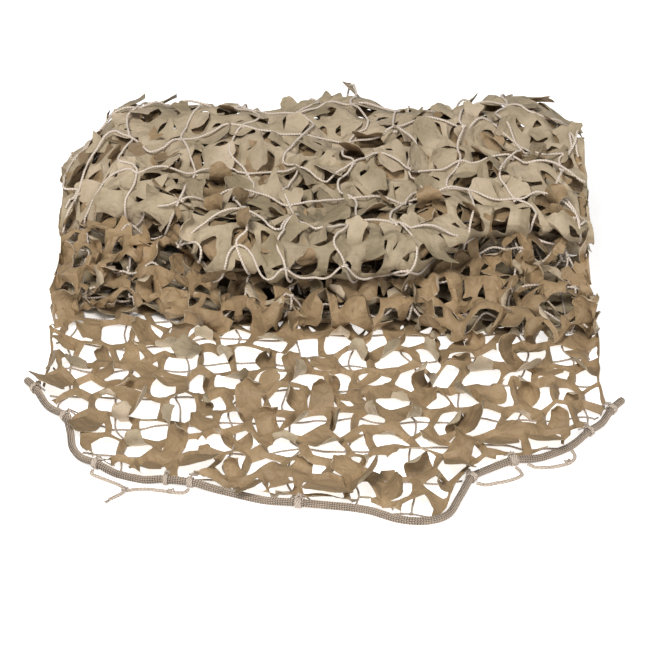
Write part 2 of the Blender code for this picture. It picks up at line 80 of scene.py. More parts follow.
# The folded cloth from its roped edge to its tucked-in end, in millimetres.
SECTION = (
    # First run, tan face up: the apron on the floor, and on under the gathered cloth behind it.
    Station("front_edge", -6, 3.6),
    Station("apron_flat", 330, 3.6, left=(39, 0), right=(-26, 0)),
    Station("apron_back", 372, 3.0, left=(42, 0), right=(-22, 0)),
    Station("under_back", 528, 2.6, left=(22, 0)),
    Station("under_turn_a", 545, 4, left=(15, 0)),
    Station("under_turn_b", 546, 9, left=(15, 0)),
    # The gathered cloth on top of it, reverse side up and then tan face up again in its ruffles.
    Station("gather_back", 528, 12.5, left=(22, 1)),
    Station("gather_middle", 470, 12, left=(36, 3), right=(-2, 3)),
    Station("gather_front", 408, 8.5, left=(45, 2), right=(-28, 2)),
    Station("gather_turn_a", 391, 8.5, left=(45, 2), right=(-30, 2)),
    Station("gather_turn_b", 384, 13, left=(45, -2), right=(-30, -2)),
    Station("ruffle_1_top", 391, 30, left=(50, -10), right=(-22, -10)),
    Station("ruffle_1_foot", 408, 22, left=(50, -3), right=(-14, -4)),
    Station("ruffle_2_rise", 421, 30, left=(50, -2), right=(-3, -3)),
    Station("ruffle_2_top", 422, 42, left=(52, -6), right=(0, -6)),
    Station("ruffle_2_back", 442, 37, left=(46, -1), right=(2, -2)),
    Station("ruffle_2_foot", 459, 27, left=(42, 8), right=(2, 6)),
    Station("ruffle_3_rise", 478, 30, left=(34, 12), right=(4, 10)),
    Station("ruffle_3_top", 481, 43, left=(30, 12), right=(3, 8)),
    Station("ruffle_3_back", 507, 41, left=(26, 10), right=(4, 8)),
    Station("ruffle_3_foot", 519, 22, left=(22, 8), right=(4, 6)),
    Station("hump", 540, 30, left=(17, 6), right=(2, 4)),
    Station("hump_back", 560, 17, left=(12, 2)),
    Station("hump_toe", 578, 4.5, left=(6, 0)),
    Station("base_front", 604, 1.2),
    Station("base_back", 700, 1.2),
    Station("base_turn_low", 730, 4.8),
    Station("base_turn_a", 742, 8.5),
    Station("base_turn_b", 742, 14.5),
    Station("base_turn_high", 730, 18),
    # Second run, reverse side up.
    Station("second_front", 616, 18),
    Station("second_turn_a", 602, 22),
    Station("second_turn_b", 602, 34),
    # Third run, tan face up.
    Station("third_front", 616, 40),
    Station("third_back", 706, 42),
    Station("third_turn_low", 730, 45),
    Station("third_turn_a", 742, 52),
    Station("third_turn_b", 742, 62),
    Station("third_turn_high", 730, 70),
    # Fourth run, reverse side up.
    Station("fourth_back", 700, 84),
    Station("fourth_middle", 600, 88, right=(30, 6)),
    Station("fourth_valley", 505, 69, left=(84, 4), right=(96, 14)),
    Station("fourth_front", 440, 68, left=(118, -4), right=(86, 2)),
    Station("fourth_turn_a", 417, 66, left=(127, -6), right=(84, 5)),
    Station("fourth_turn_b", 411, 73, left=(129, -7), right=(84, 5)),
    # Fifth run, tan face up, close under the top of the heap.
    Station("fifth_brow", 427, 81, left=(118, -12), right=(84, 3)),
    Station("fifth_front", 462, 91, left=(96, -6), right=(86, 2)),
    Station("fifth_valley", 505, 80, left=(84, 12), right=(96, 17)),
    Station("fifth_middle", 600, 106, left=(0, 0), right=(30, 6)),
    Station("fifth_ridge", 655, 115, right=(10, 4)),
    Station("fifth_back", 706, 98),
    Station("fifth_turn_a", 724, 100),
    Station("fifth_turn_b", 724, 107),
    # Sixth run, reverse side up: the top of the heap, down over the front roll.
    Station("top_back", 706, 111),
    Station("ridge", 655, 121, right=(10, 4)),
    Station("ridge_front", 604, 113, left=(14, 0), right=(30, 7)),
    Station("valley_back", 552, 98, left=(46, 8), right=(60, 10)),
    Station("valley", 505, 86, left=(76, 16), right=(92, 20)),
    Station("crest", 462, 97, left=(94, -4), right=(84, 4)),
    Station("brow", 424, 88, left=(118, -12), right=(84, 4)),
    Station("roll_front", 402, 73, left=(134, -6), right=(84, 6)),
    Station("roll_low", 406, 61, left=(132, 0), right=(84, 8)),
    Station("roll_under", 422, 54, left=(124, 4), right=(84, 8)),
    # Seventh run, tan face up, tucked into the roll.
    Station("tuck", 466, 54, left=(112, 2), right=(84, 6)),
    Station("tuck_end", 508, 53, left=(96, 2), right=(80, 4)),
)
AT = {station.name: index for index, station in enumerate(SECTION)}

WIDTH = 576 * MM
ALONG_PITCH = 46 * MM
APRON_HEIGHT = 3.6 * MM

# How the folds change across the width: the x where a change begins, and where it is complete.
TO_LEFT = (-105 * MM, -190 * MM)
TO_RIGHT = (75 * MM, 185 * MM)
LEFT_FALL = (-205 * MM, -WIDTH / 2)
RIGHT_FALL = (225 * MM, WIDTH / 2)
LEFT_SINK, LEFT_DRAW = 0.46, 0.5  # the share of height and of depth that the heap loses there
RIGHT_SINK, RIGHT_DRAW = 0.16, 0.12
HEAP_MIDDLE = 610 * MM  # the heap's ends draw in towards this y
DRAW_ZONE = (500 * MM, 560 * MM)
LUMP = 0.08  # the heap's lumps, as a share of its height
LUMP_LENGTH, LUMP_DEPTH = 210 * MM, 170 * MM
LUMP_PHASES = (1.1, 0.4)
DRIFT = 7 * MM  # how far the folds wander from a straight line
DRIFT_LENGTH = 0.7 * LUMP_LENGTH
DRIFT_HEIGHT = 100 * MM  # at and above this height they wander in full

# A ripple is a sum of this many waves, divided by about the most that they add up to.
RIPPLE_WAVES, RIPPLE_RANGE = 6, 3.2

# The unevenness between the main folds: how deep it is, and how far apart its bumps lie.
COARSE_LENGTH, FINE_LENGTH = 75 * MM, 34 * MM
CREASE_LENGTH, CREASE_WIDTH = 110 * MM, 0.13
APRON_RISE, GATHER_RISE = 1.4 * MM, 2 * MM
HEAP_COARSE, HEAP_FINE, HEAP_CREASE = 4.5 * MM, 2.4 * MM, 3 * MM
RUFFLE_RISE, RUFFLE_RISE_LENGTH, RUFFLE_FINE = 7 * MM, 36 * MM, 4 * MM
RUFFLE_SWAY, RUFFLE_SWAY_LENGTH = 9 * MM, 48 * MM
GATHER_SWAY, GATHER_SWAY_LENGTH = 14 * MM, 70 * MM

# How far apart neighbouring stations count as, where a ripple runs along the folds.
RUFFLE_RISE_STEP, RUFFLE_SWAY_STEP, GATHER_SWAY_STEP = 25 * MM, 30 * MM, 6 * MM

# Stations that lie the same way along the cloth all across it. Past the last, the cloth isn't stretched.
ANCHORS = ("front_edge", "hump_toe", "fourth_front", "fifth_turn_b")
SURFACE_STEP = 4 * MM  # between the points that the folded surface is worked out at
CURVE_STEPS = 12  # points along the curve from one station to the next


def smoothstep(x, begin, end):
    """0 where a change begins and 1 where it ends, and smooth between them."""
    share = np.clip((x - begin) / (end - begin), 0.0, 1.0)
    return share * share * (3 - 2 * share)


def ripple(x, y, length, seed):
    """A smooth uneven field between about -1 and 1, its bumps about a length apart."""
    chance = random.Random(seed)
    total = 0.0
    for _ in range(RIPPLE_WAVES):
        turn, phase = chance.uniform(0, math.tau), chance.uniform(0, math.tau)
        waves = math.tau / (length * chance.uniform(0.7, 1.5))
        total = total + np.sin(waves * (x * math.cos(turn) + y * math.sin(turn)) + phase)
    return total / RIPPLE_RANGE


def settle(x, y, z):
    """Lets the heap sink and draw in at its two ends, and gives its folds their lumps and wander."""
    left, right = smoothstep(x, *LEFT_FALL), smoothstep(x, *RIGHT_FALL)
    draw = (LEFT_DRAW * left + RIGHT_DRAW * right) * smoothstep(y, *DRAW_ZONE)
    y = y + (HEAP_MIDDLE - y) * draw
    raised = np.maximum(z - APRON_HEIGHT, 0.0)
    across, along = LUMP_PHASES
    lumps = np.sin(math.tau * x / LUMP_LENGTH + across) * np.sin(math.tau * y / LUMP_DEPTH + along)
    z = z - raised + raised * (1 - LEFT_SINK * left) * (1 - RIGHT_SINK * right) * (1 + LUMP * lumps)
    lift = np.clip(raised / DRIFT_HEIGHT, 0.0, 1.0)
    y = y + DRIFT * lift * np.sin(math.tau * x / DRIFT_LENGTH)
    return y, z


def unit(vectors):
    """Vectors in the same directions, each of length 1."""
    return vectors / np.maximum(np.linalg.norm(vectors, axis=-1, keepdims=True), 1e-9)


def way_along(line):
    """How far along a line of points each of them is."""
    return np.append(0, np.cumsum(np.linalg.norm(np.diff(line, axis=0), axis=1)))


def section_at(x):
    """The (y, z) of every station at one x, in metres."""
    middle = np.array([(station.y, station.z) for station in SECTION])
    to_left = smoothstep(x, *TO_LEFT) * np.array([station.left for station in SECTION])
    to_right = smoothstep(x, *TO_RIGHT) * np.array([station.right for station in SECTION])
    return (middle + to_left + to_right) * MM


def smooth_through(points):
    """A smooth curve through points at uneven distances, and how many of them each of its own is past."""
    gaps = np.linalg.norm(np.diff(points, axis=0), axis=1)[:, None]
    slopes = np.diff(points, axis=0) / gaps
    inner = (slopes[:-1] * gaps[1:] + slopes[1:] * gaps[:-1]) / (gaps[:-1] + gaps[1:])
    tangents = np.vstack([slopes[:1], inner, slopes[-1:]])
    t = np.linspace(0, 1, CURVE_STEPS, endpoint=False)[None, :, None]
    start, end = points[:-1, None], points[1:, None]
    leave, reach = tangents[:-1, None] * gaps[:, None], tangents[1:, None] * gaps[:, None]
    curve = (2 * t**3 - 3 * t**2 + 1) * start + (t**3 - 2 * t**2 + t) * leave
    curve = curve + (3 * t**2 - 2 * t**3) * end + (t**3 - t**2) * reach
    shares = np.arange(len(points) - 1)[:, None] + t[..., 0]
    whole = np.vstack([curve.reshape(-1, points.shape[1]), points[-1:]])
    return whole, np.append(shares.ravel(), len(points) - 1)


class Folds:
    """The folded surface, worked out on an even grid of places across and along the cloth."""

    def __init__(self):
        across = round(WIDTH / SURFACE_STEP) + 1
        self.xs = np.linspace(-WIDTH / 2, WIDTH / 2, across)
        lines = [self.line_at(x) for x in self.xs]
        middle = lines[across // 2]
        anchor_stages = [AT[name] for name in ANCHORS]
        anchors = np.interp(anchor_stages, middle[2], middle[0])
        self.length = middle[0][-1]
        along = np.linspace(0, self.length, round(self.length / SURFACE_STEP) + 1)
        self.places = np.zeros((across, len(along), 3))
        self.stages = np.zeros((across, len(along)))
        self.ends = np.zeros(across)
        for index, (x, (reach, curve, shares)) in enumerate(zip(self.xs, lines)):
            local = np.interp(anchor_stages, shares, reach)
            at = np.interp(along, anchors, local) + np.maximum(along - anchors[-1], 0)
            self.ends[index] = anchors[-1] + reach[-1] - local[-1]
            self.places[index, :, 0] = x
            self.places[index, :, 1] = np.interp(at, reach, curve[:, 0])
            self.places[index, :, 2] = np.interp(at, reach, curve[:, 1])
            self.stages[index] = np.interp(at, reach, shares)
        self.crumple()
        step_across, step_along = np.gradient(self.places, axis=0), np.gradient(self.places, axis=1)
        self.normals = unit(np.cross(step_across, step_along))

    @staticmethod
    def line_at(x):
        """The cloth's line at one x: the way along it, its points, and the station that each is at."""
        y, z = settle(x, *section_at(x).T)
        curve, shares = smooth_through(np.stack([y, z], axis=1))
        return way_along(curve), curve, shares

    def crumple(self):
        """The cloth's unevenness between its main folds. Runs that lie on each other share it."""
        x, y, z = self.places[..., 0], self.places[..., 1], self.places[..., 2]
        stage = self.stages
        on_apron = 1 - smoothstep(stage, AT["apron_flat"], AT["apron_back"])
        gathered = smoothstep(stage, AT["under_turn_b"], AT["gather_turn_b"])
        gathered = gathered * (1 - smoothstep(stage, AT["hump"], AT["base_front"]))
        ruffled = gathered * smoothstep(stage, AT["gather_front"], AT["ruffle_1_top"])
        heaped = smoothstep(stage, AT["fourth_middle"], AT["fourth_front"])
        coarse, fine = ripple(x, y, COARSE_LENGTH, seed=3), ripple(x, y, FINE_LENGTH, seed=5)
        crease = np.exp(-((ripple(x, y, CREASE_LENGTH, seed=21) / CREASE_WIDTH) ** 2))
        rise = APRON_RISE * on_apron * (1 + fine) + gathered * GATHER_RISE * (1 + fine)
        rise = rise + heaped * (HEAP_COARSE * coarse + HEAP_FINE * fine + HEAP_CREASE * crease)
        wave = ripple(x, stage * RUFFLE_RISE_STEP, RUFFLE_RISE_LENGTH, seed=8)
        rise = rise + ruffled * (RUFFLE_RISE * wave + RUFFLE_FINE * fine)
        self.places[..., 2] = z + rise
        sway = gathered * GATHER_SWAY * ripple(x, stage * GATHER_SWAY_STEP, GATHER_SWAY_LENGTH, seed=13)
        wave = ripple(x, stage * RUFFLE_SWAY_STEP, RUFFLE_SWAY_LENGTH, seed=11)
        self.places[..., 1] = y + sway + ruffled * RUFFLE_SWAY * wave

    def read(self, grid, across, along):
        """A grid's values at places of the flat cloth, between its own points."""
        a = np.clip(across / WIDTH + 0.5, 0, 1) * (grid.shape[0] - 1)
        b = np.clip(along / self.length, 0, 1) * (grid.shape[1] - 1)
        i, j = np.minimum(a.astype(int), grid.shape[0] - 2), np.minimum(b.astype(int), grid.shape[1] - 2)
        u, v = a - i, b - j
        if grid.ndim == 3:
            u, v = u[:, None], v[:, None]
        near = grid[i, j] * (1 - u) + grid[i + 1, j] * u
        far = grid[i, j + 1] * (1 - u) + grid[i + 1, j + 1] * u
        return near * (1 - v) + far * v

    def carry(self, points):
        """Points of the flat cloth carried to their places on the folded netting."""
        across, along, heights = np.asarray(points, float).reshape(-1, 3).T
        places = self.read(self.places, across, along)
        normals = unit(self.read(self.normals, across, along))
        return places + heights[:, None] * normals - np.array(ORIGIN), normals

    def stage(self, across, along):
        """How far through the stations a place of the flat cloth lies."""
        return float(self.read(self.stages, np.array([across]), np.array([along]))[0])

    def past_end(self, points):
        """Whether each point of the flat cloth lies past its tucked-in end."""
        across, along, _ = np.asarray(points, float).reshape(-1, 3).T
        return along > np.interp(across, self.xs, self.ends) + 0.1 * MM

    def along(self, name):
        """How far along the flat cloth a station lies, at mid width."""
        middle = self.stages[len(self.xs) // 2]
        return float(np.interp(AT[name], middle, np.linspace(0, self.length, len(middle))))


FOLDS = Folds()


# ---------------------------------------------------------------------------------------------------
# The rope's line and the slack cords, in the same measure as the solids.

ROPE_DIAMETER = 8 * MM
TIE_TWINE = 2.4 * MM
TIE_CLEARANCE = 0.3 * MM
TIE_SIDES = 8
TIE_RADIUS = (ROPE_DIAMETER / 2 + TIE_CLEARANCE) / math.cos(math.pi / TIE_SIDES) + TIE_TWINE
ROPE_SPACING = 20 * MM

# The rope's route on the floor, seen from above, in millimetres. A True is a tie.
ROPE_ROUTE = (
    (-301, 282, False),
    (-291, 260, True),
    (-276, 228, False),
    (-257, 202, True),
    (-250, 170, False),
    (-247, 146, False),
    (-238, 126, False),
    (-221, 108, True),
    (-200, 93, False),
    (-175, 82, False),
    (-152, 77, True),
    (-128, 72, True),
    (-100, 62, False),
    (-60, 44, False),
    (-23, 33, True),
    (12, 32, False),
    (44, 24, False),
    (72, 8, False),
    (98, 4, False),
    (120, 16, False),
    (132, 48, False),
    (145, 81, True),
    (163, 103, False),
    (187, 114, True),
    (215, 125, False),
    (243, 145, False),
    (265, 172, True),
    (279, 194, False),
    (290, 216, True),
    (302, 240, False),
)

# The ties' slack and free ends on the floor, in millimetres, and the knots that are tied in them.
TAILS = {
    "tie_end": ((-225, 103.5), (-226, 97), (-217, 89), (-204, 80), (-194, 71), (-192, 62), (-206, 47)),
    "tie_slack_left": ((-189.8, 64), (-176, 67), (-160, 65), (-146, 61), (-134, 60), (-129.7, 66.3)),
    "tie_slack_right": ((150.1, 78.1), (158, 75), (170, 79), (183, 84), (195, 95), (189.3, 108.6)),
    "tie_loop": ((245.9, 142), (248.5, 132), (246, 122), (237, 114), (222, 109), (208, 109), (201.5, 115)),
}

TAIL_KNOTS = {"tie_end": (-191.5, 65), "tie_slack_left": (-147, 61.5), "tie_loop": (241, 117.5)}


def on_floor(x, y, height):
    """A place given in millimetres, seen from above, at a height over the floor in metres."""
    return Vector((x * MM, y * MM, height)) - ORIGIN


def smooth_line(route, spacing):
    """A smooth curve through the route's points, read off about every spacing."""
    line = []
    for i in range(len(route) - 1):
        before, here, there, after = (route[min(max(i + k, 0), len(route) - 1)] for k in (-1, 0, 1, 2))
        pieces = max(1, round((there - here).length / spacing))
        for k in range(pieces):
            t = k / pieces
            bend = 2 * before - 5 * here + 4 * there - after
            twist = 3 * here - before - 3 * there + after
            line.append((2 * here + (there - before) * t + bend * t**2 + twist * t**3) / 2)
    return line + [route[-1]]


def rope_route():
    """The rope's route in metres, straight through each tie. It lies on the floor between them."""
    flat = [on_floor(x, y, ROPE_DIAMETER / 2) for x, y, _ in ROPE_ROUTE]
    route = []
    for i, (here, (_, _, tied)) in enumerate(zip(flat, ROPE_ROUTE)):
        if tied:
            centre = Vector((here.x, here.y, TIE_RADIUS))
            along = (flat[i + 1] - flat[i - 1]).normalized() * 2 * TIE_TWINE
            route += [centre - along, centre, centre + along]
        else:
            route.append(here)
    return route


def rope_line(spacing):
    """The rope's centreline, never lower than it lies on the floor."""
    line = smooth_line(rope_route(), spacing)
    for point in line:
        point.z = max(point.z, ROPE_DIAMETER / 2)
    return line


def spaced(line, spacing):
    """A line of points read again at even distances."""
    points = np.array(line)
    way = way_along(points)
    at = np.linspace(0, way[-1], max(2, round(way[-1] / spacing) + 1))
    return np.stack([np.interp(at, way, points[:, k]) for k in range(3)], axis=1)


# ---------------------------------------------------------------------------------------------------
# Finishes.

SPECULAR = 0.35  # cloth and twine reflect less than a bare plastic face

# The scales of the cloth's duller patches, specks, wrinkles and threads, and of the cords' patches and fuzz.
PATCHES, SPECKS = 26.0, 900.0
COARSE_WRINKLES, FINE_WRINKLES = 45.0, 130.0
WEAVE = 380.0
TWINE_PATCHES, TWINE_FUZZ, YARN_PATCHES = 30.0, 1500.0, 45.0
THREAD = 1.6 * MM  # from one thread of a rope's yarn to the next


class Value:
    """A node's output. Python's operators on it add Math nodes."""

    def __init__(self, finish, socket):
        self.finish, self.socket = finish, socket

    def math(self, operation, *others):
        inputs = dict(enumerate((self, *others)))
        return self.finish.node("ShaderNodeMath", {"operation": operation}, inputs)

    def __add__(self, other):
        return self.math("ADD", other)

    def __sub__(self, other):
        return self.math("SUBTRACT", other)

    def __mul__(self, other):
        return self.math("MULTIPLY", other)

    def __truediv__(self, other):
        return self.math("DIVIDE", other)

    __radd__ = __add__
    __rmul__ = __mul__


class Finish:
    """A material, with one method that adds any node to it."""

    def __init__(self, name, roughness, sheen=0.0):
        self.material = bpy.data.materials.new(name)
        self.material.use_nodes = True
        self.tree = self.material.node_tree
        self.shader = self.tree.nodes["Principled BSDF"]
        self.shader.inputs["Roughness"].default_value = roughness
        self.shader.inputs["Sheen Weight"].default_value = sheen
        self.shader.inputs["Specular IOR Level"].default_value = SPECULAR

    def node(self, kind, settings=None, inputs=None, output=0):
        made = self.tree.nodes.new(kind)
        for name, value in (settings or {}).items():
            setattr(made, name, value)
        for name, value in (inputs or {}).items():
            if isinstance(value, Value):
                self.tree.links.new(value.socket, made.inputs[name])
            else:
                made.inputs[name].default_value = value
        return Value(self, made.outputs[output])

    def mix(self, share, first, second):
        """A colour between two others."""
        settings = {"data_type": "RGBA", "blend_type": "MIX"}
        colours = [value if isinstance(value, Value) else (*value, 1) for value in (first, second)]
        return self.node("ShaderNodeMix", settings, {0: share, 6: colours[0], 7: colours[1]}, 2)

    def noise(self, place, scale, detail=2.0, roughness=0.5):
        inputs = {"Vector": place, "Scale": scale, "Detail": detail, "Roughness": roughness}
        return self.node("ShaderNodeTexNoise", {}, inputs)

    def attribute(self, name):
        return self.node("ShaderNodeAttribute", {"attribute_name": name}, output=2)

    def bump(self, height, distance, strength, normal=None):
        inputs = {"Height": height, "Distance": distance, "Strength": strength}
        if normal:
            inputs["Normal"] = normal
        return self.node("ShaderNodeBump", {}, inputs)

    def stripes(self, turns, pitch):
        """Rounded bands that wind round a cord: how many lie round it, and their distance along it."""
        lay = self.node("ShaderNodeUVMap", {"uv_map": "lay"})
        around, along = (self.node("ShaderNodeSeparateXYZ", {}, {0: lay}, axis) for axis in "XY")
        return ((around * turns + along / pitch) * math.pi).math("SINE").math("ABSOLUTE")

    def feed(self, **inputs):
        for name, value in inputs.items():
            self.tree.links.new(value.socket, self.shader.inputs[name.replace("_", " ").title()])


def cloth_face(name, light, middle, dark, roughness):
    """One face of the coated cloth: soft creases, a fine plain weave, and each leaf's lightness and painted
    shading.
    """
    finish = Finish(name, roughness, sheen=0.03)
    place = finish.node("ShaderNodeTexCoord", output="Object")
    lay = finish.node("ShaderNodeUVMap", {"uv_map": "cut"})
    # The attribute holds each leaf's random lightness and the painted shade and light of the folds; the noise
    # adds duller patches.
    tone = finish.attribute("tone") + (finish.noise(place, PATCHES) - 0.5) * 1.7
    speck = finish.noise(place, SPECKS) - 0.5
    shade = tone + speck * 0.25
    colour = finish.mix(shade * 1.5, middle, light)
    colour = finish.mix(shade * -1.5, colour, dark)
    threads = {"Vector": lay, "Scale": WEAVE}
    warp = finish.node("ShaderNodeTexWave", {"bands_direction": "X"}, threads)
    weft = finish.node("ShaderNodeTexWave", {"bands_direction": "Y"}, threads)
    coarse = finish.bump(finish.noise(place, COARSE_WRINKLES, 3.0), 8 * MM, 0.8)
    wrinkles = finish.bump(finish.noise(place, FINE_WRINKLES), 2.5 * MM, 0.8, coarse)
    fine = finish.bump(warp + weft, 0.12 * MM, 0.35, wrinkles)
    finish.feed(base_color=colour, normal=fine, roughness=0.05 * speck + roughness)
    return finish.material


def twisted_twine(name, light, dark, pitch):
    """Twisted twine: its plies wind round it as it runs along."""
    finish = Finish(name, 0.8, sheen=0.3)
    ply = finish.stripes(2, pitch)
    place = finish.node("ShaderNodeTexCoord", output="Object")
    fuzz = finish.noise(place, TWINE_FUZZ)
    patch = finish.noise(place, TWINE_PATCHES)
    # Darker in the grooves between the plies, a painted shade, with random fuzz and patches.
    share = ply * 0.6 + fuzz * 0.35 + patch * 0.3 + finish.attribute("tone") * 0.7 - 0.2
    bump = finish.bump(ply + fuzz * 0.3, 0.5 * MM, 0.8)
    finish.feed(base_color=finish.mix(share, dark, light), normal=bump)
    return finish.material


def braided_yarn(name, light, dark):
    """The yarns of the border rope's braid, each with its own lightness, and painted shade between their
    threads.
    """
    finish = Finish(name, 0.75, sheen=0.2)
    thread = finish.stripes(4, THREAD)
    patch = finish.noise(finish.node("ShaderNodeTexCoord", output="Object"), YARN_PATCHES, 3.0)
    # Darker in the grooves between the threads, a painted shade; the attribute gives each way round its own
    # lightness.
    share = finish.attribute("tone") * 0.9 + thread * 0.3 + patch * 0.6 - 0.05
    finish.feed(base_color=finish.mix(share, dark, light), normal=finish.bump(thread, 0.3 * MM, 0.6))
    return finish.material


# ---------------------------------------------------------------------------------------------------
# Shared making.


def put(name, data):
    """Adds an object to the scene."""
    made = bpy.data.objects.new(name, data)
    bpy.context.scene.collection.objects.link(made)
    return made


def put_mesh(bm, name, finishes):
    """Adds an object with a bmesh as its mesh."""
    mesh = bpy.data.meshes.new(name)
    bm.to_mesh(mesh)
    bm.free()
    for finish in finishes:
        mesh.materials.append(finish)
    return put(name, mesh)


def show(bm, name, finishes, stands_for=()):
    """Makes a piece of a bmesh that lies in place, and has it ride on the netting's body."""
    piece = put_mesh(bm, name, finishes)
    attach(piece, "root")
    if stands_for:
        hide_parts(*stands_for)
    return piece


def turned(first, second, angle):
    """The direction at an angle from the first of two square to each other, towards the second."""
    return first * np.cos(angle) + second * np.sin(angle)


def frames_along(line):
    """The tangent and two cross directions at each point of a line, turning as little as they can.

    The two and the tangent are left-handed, so the faces of a tube that is laid out on them point inwards.
    """
    tangents = unit(np.gradient(line, axis=0))
    start = Vector(tangents[0])
    side = start.cross(Vector((0, 0, 1)))
    side = side.normalized() if side.length > 0.1 else start.orthogonal().normalized()
    sides = []
    for tangent in tangents:
        ahead = Vector(tangent)
        side = (side - ahead * side.dot(ahead)).normalized()
        sides.append(tuple(side))
    sides = np.array(sides)
    return tangents, sides, np.cross(sides, tangents)


def add_tube(bm, line, radius, sides=6, tone=0.0):
    """Adds a round cord: a straight tube cut into rings, and then bent along a line of points."""
    line = np.asarray(line, float)
    lay = bm.loops.layers.uv.get("lay") or bm.loops.layers.uv.new("lay")
    tones = bm.verts.layers.float.get("tone") or bm.verts.layers.float.new("tone")
    before = len(bm.verts)
    ends = {"segments": sides, "cap_ends": True, "cap_tris": False}
    made = bmesh.ops.create_cone(bm, radius1=1, radius2=1, depth=1, **ends)["verts"]
    edges = {edge for vert in made for edge in vert.link_edges}
    lengthwise = [edge for edge in edges if abs(edge.verts[0].co.z - edge.verts[1].co.z) > 0.5]
    if len(line) > 2:
        bmesh.ops.subdivide_edges(bm, edges=lengthwise, cuts=len(line) - 2)
    bm.verts.ensure_lookup_table()
    verts = [bm.verts[i] for i in range(before, len(bm.verts))]
    flat = np.array([vert.co for vert in verts])
    at = np.clip(np.rint((flat[:, 2] + 0.5) * (len(line) - 1)).astype(int), 0, len(line) - 1)
    _, aside, above = frames_along(line)
    radii = np.broadcast_to(radius, len(line))[at][:, None]
    places = line[at] + radii * (flat[:, :1] * aside[at] + flat[:, 1:2] * above[at])
    way = way_along(line)
    turns = np.arctan2(flat[:, 1], flat[:, 0]) / math.tau
    toned = np.broadcast_to(tone, len(line))[at]
    laid = {}
    for vert, place, share, reach, shade in zip(verts, places, turns, way[at], toned):
        vert.co = place
        vert[tones] = shade
        laid[vert] = (share, reach)
    for face in {face for vert in verts for face in vert.link_faces}:
        face.smooth = len(face.verts) == 4
        shares = [laid[loop.vert][0] for loop in face.loops]
        wraps = max(shares) - min(shares) > 0.5
        for loop, share in zip(face.loops, shares):
            loop[lay].uv = (share + (wraps and share < 0), laid[loop.vert][1])
    return verts


# ---------------------------------------------------------------------------------------------------
# The leaf-cut cloth.


class LeafShape(NamedTuple):
    """A leaf's outline: its half width from root to tip as a share of the hole's, and its tip."""

    widths: tuple
    tip: float  # how far the corners of the tip are drawn back
    notch: float  # how far the middle of the tip is drawn back
    length: float


LEAF_SHAPES = (
    LeafShape((0.80, 0.90, 0.97, 0.95, 0.80, 0.42), 0.18, 0.0, 0.96),  # round
    LeafShape((0.62, 0.64, 0.86, 0.98, 0.90, 0.46), 0.20, 0.0, 1.0),  # round, on a neck
    LeafShape((0.84, 0.86, 0.84, 0.76, 0.62, 0.34), 0.10, 0.0, 1.05),  # drawn out to a blunt point
    LeafShape((0.70, 0.64, 0.68, 0.80, 0.92, 0.94), -0.04, 0.16, 1.0),  # a concave star's arm
    LeafShape((0.66, 0.74, 0.92, 1.0, 0.90, 0.58), 0.12, 0.22, 1.0),  # two lobes
)


class Manner(NamedTuple):
    """How one kind of stretch of the cloth lies."""

    side: int  # 1 where the tan face is out, -1 where the reverse is
    hole: tuple  # the least and most half width of a hole, as a share of the pitch
    rough: float  # how far out the web between the holes stands, in metres
    lift: float  # how far out a hole's rim is lifted on one side, in metres
    leaves: float  # the share of holes with a leaf
    size: tuple  # a leaf's least and most size, as a share of its hole's
    turns: tuple  # (share, least angle, most angle, share of the leaf that is bent)


CURLED = ((0.45, 105, 165, 0.9), (0.35, 50, 105, 1.0), (0.2, 8, 45, 0.9))
WILD = ((0.42, 90, 170, 0.9), (0.33, 30, 90, 1.0), (0.25, -40, 30, 0.9))
NEARLY_SHUT = ((1.0, 2, 12, 0.9),)
SHUT = ((1.0, 1, 6, 0.9),)
LIFTED = ((0.65, 4, 14, 0.9), (0.35, 14, 42, 0.9))
OVERLAPPING = ((1.0, 2, 5, 1.0),)
LAID_OVER = ((0.58, 8, 22, 0.6), (0.26, 20, 45, 0.9), (0.1, 125, 175, 0.8), (0.06, -12, 0, 0.8))
PARTLY_TURNED = ((0.42, 8, 22, 0.6), (0.26, 20, 45, 0.9), (0.26, 125, 172, 0.8), (0.06, -12, 0, 0.8))
SMOOTHED = ((0.9, 3, 10, 0.6), (0.1, 10, 20, 0.9))
HANGING = ((0.85, 4, 25, 0.8), (0.15, 30, 60, 0.9))

APRON = Manner(1, (0.42, 0.66), 10 * MM, 9 * MM, 0.92, (0.53, 0.9), CURLED)
RUFFLE = Manner(1, (0.44, 0.62), 12 * MM, 10 * MM, 1.0, (0.6, 0.95), WILD)
GATHER = Manner(-1, (0.28, 0.36), 1 * MM, 2 * MM, 0.8, (0.8, 0.9), NEARLY_SHUT)
LINING = Manner(-1, (0.28, 0.34), 0.5 * MM, 0.5 * MM, 1.0, (0.9, 1.0), SHUT)
UNDER = Manner(1, (0.40, 0.52), 2 * MM, 2 * MM, 1.0, (1.0, 1.15), LIFTED)
HIDDEN = Manner(1, (0.30, 0.38), 0.3 * MM, 0.3 * MM, 1.0, (1.14, 1.24), OVERLAPPING)
TOP = Manner(-1, (0.42, 0.56), 8 * MM, 6 * MM, 1.0, (0.88, 1.18), LAID_OVER)
ROLL = Manner(-1, (0.42, 0.56), 8 * MM, 6 * MM, 1.0, (0.85, 1.15), PARTLY_TURNED)
RIDGE = Manner(-1, (0.30, 0.40), 5 * MM, 4 * MM, 1.0, (1.08, 1.22), SMOOTHED)
BACK = Manner(-1, (0.30, 0.38), 3 * MM, 4 * MM, 0.95, (0.95, 1.1), HANGING)

# Painted shade and light that the folds add to the cloth's colour: below 0 painted shade, above 0 painted
# light. The roll's and the valley's fade out to each side of the middle, and the valley's with the stations
# as well.
DEEP = (GATHER, LINING, HIDDEN)
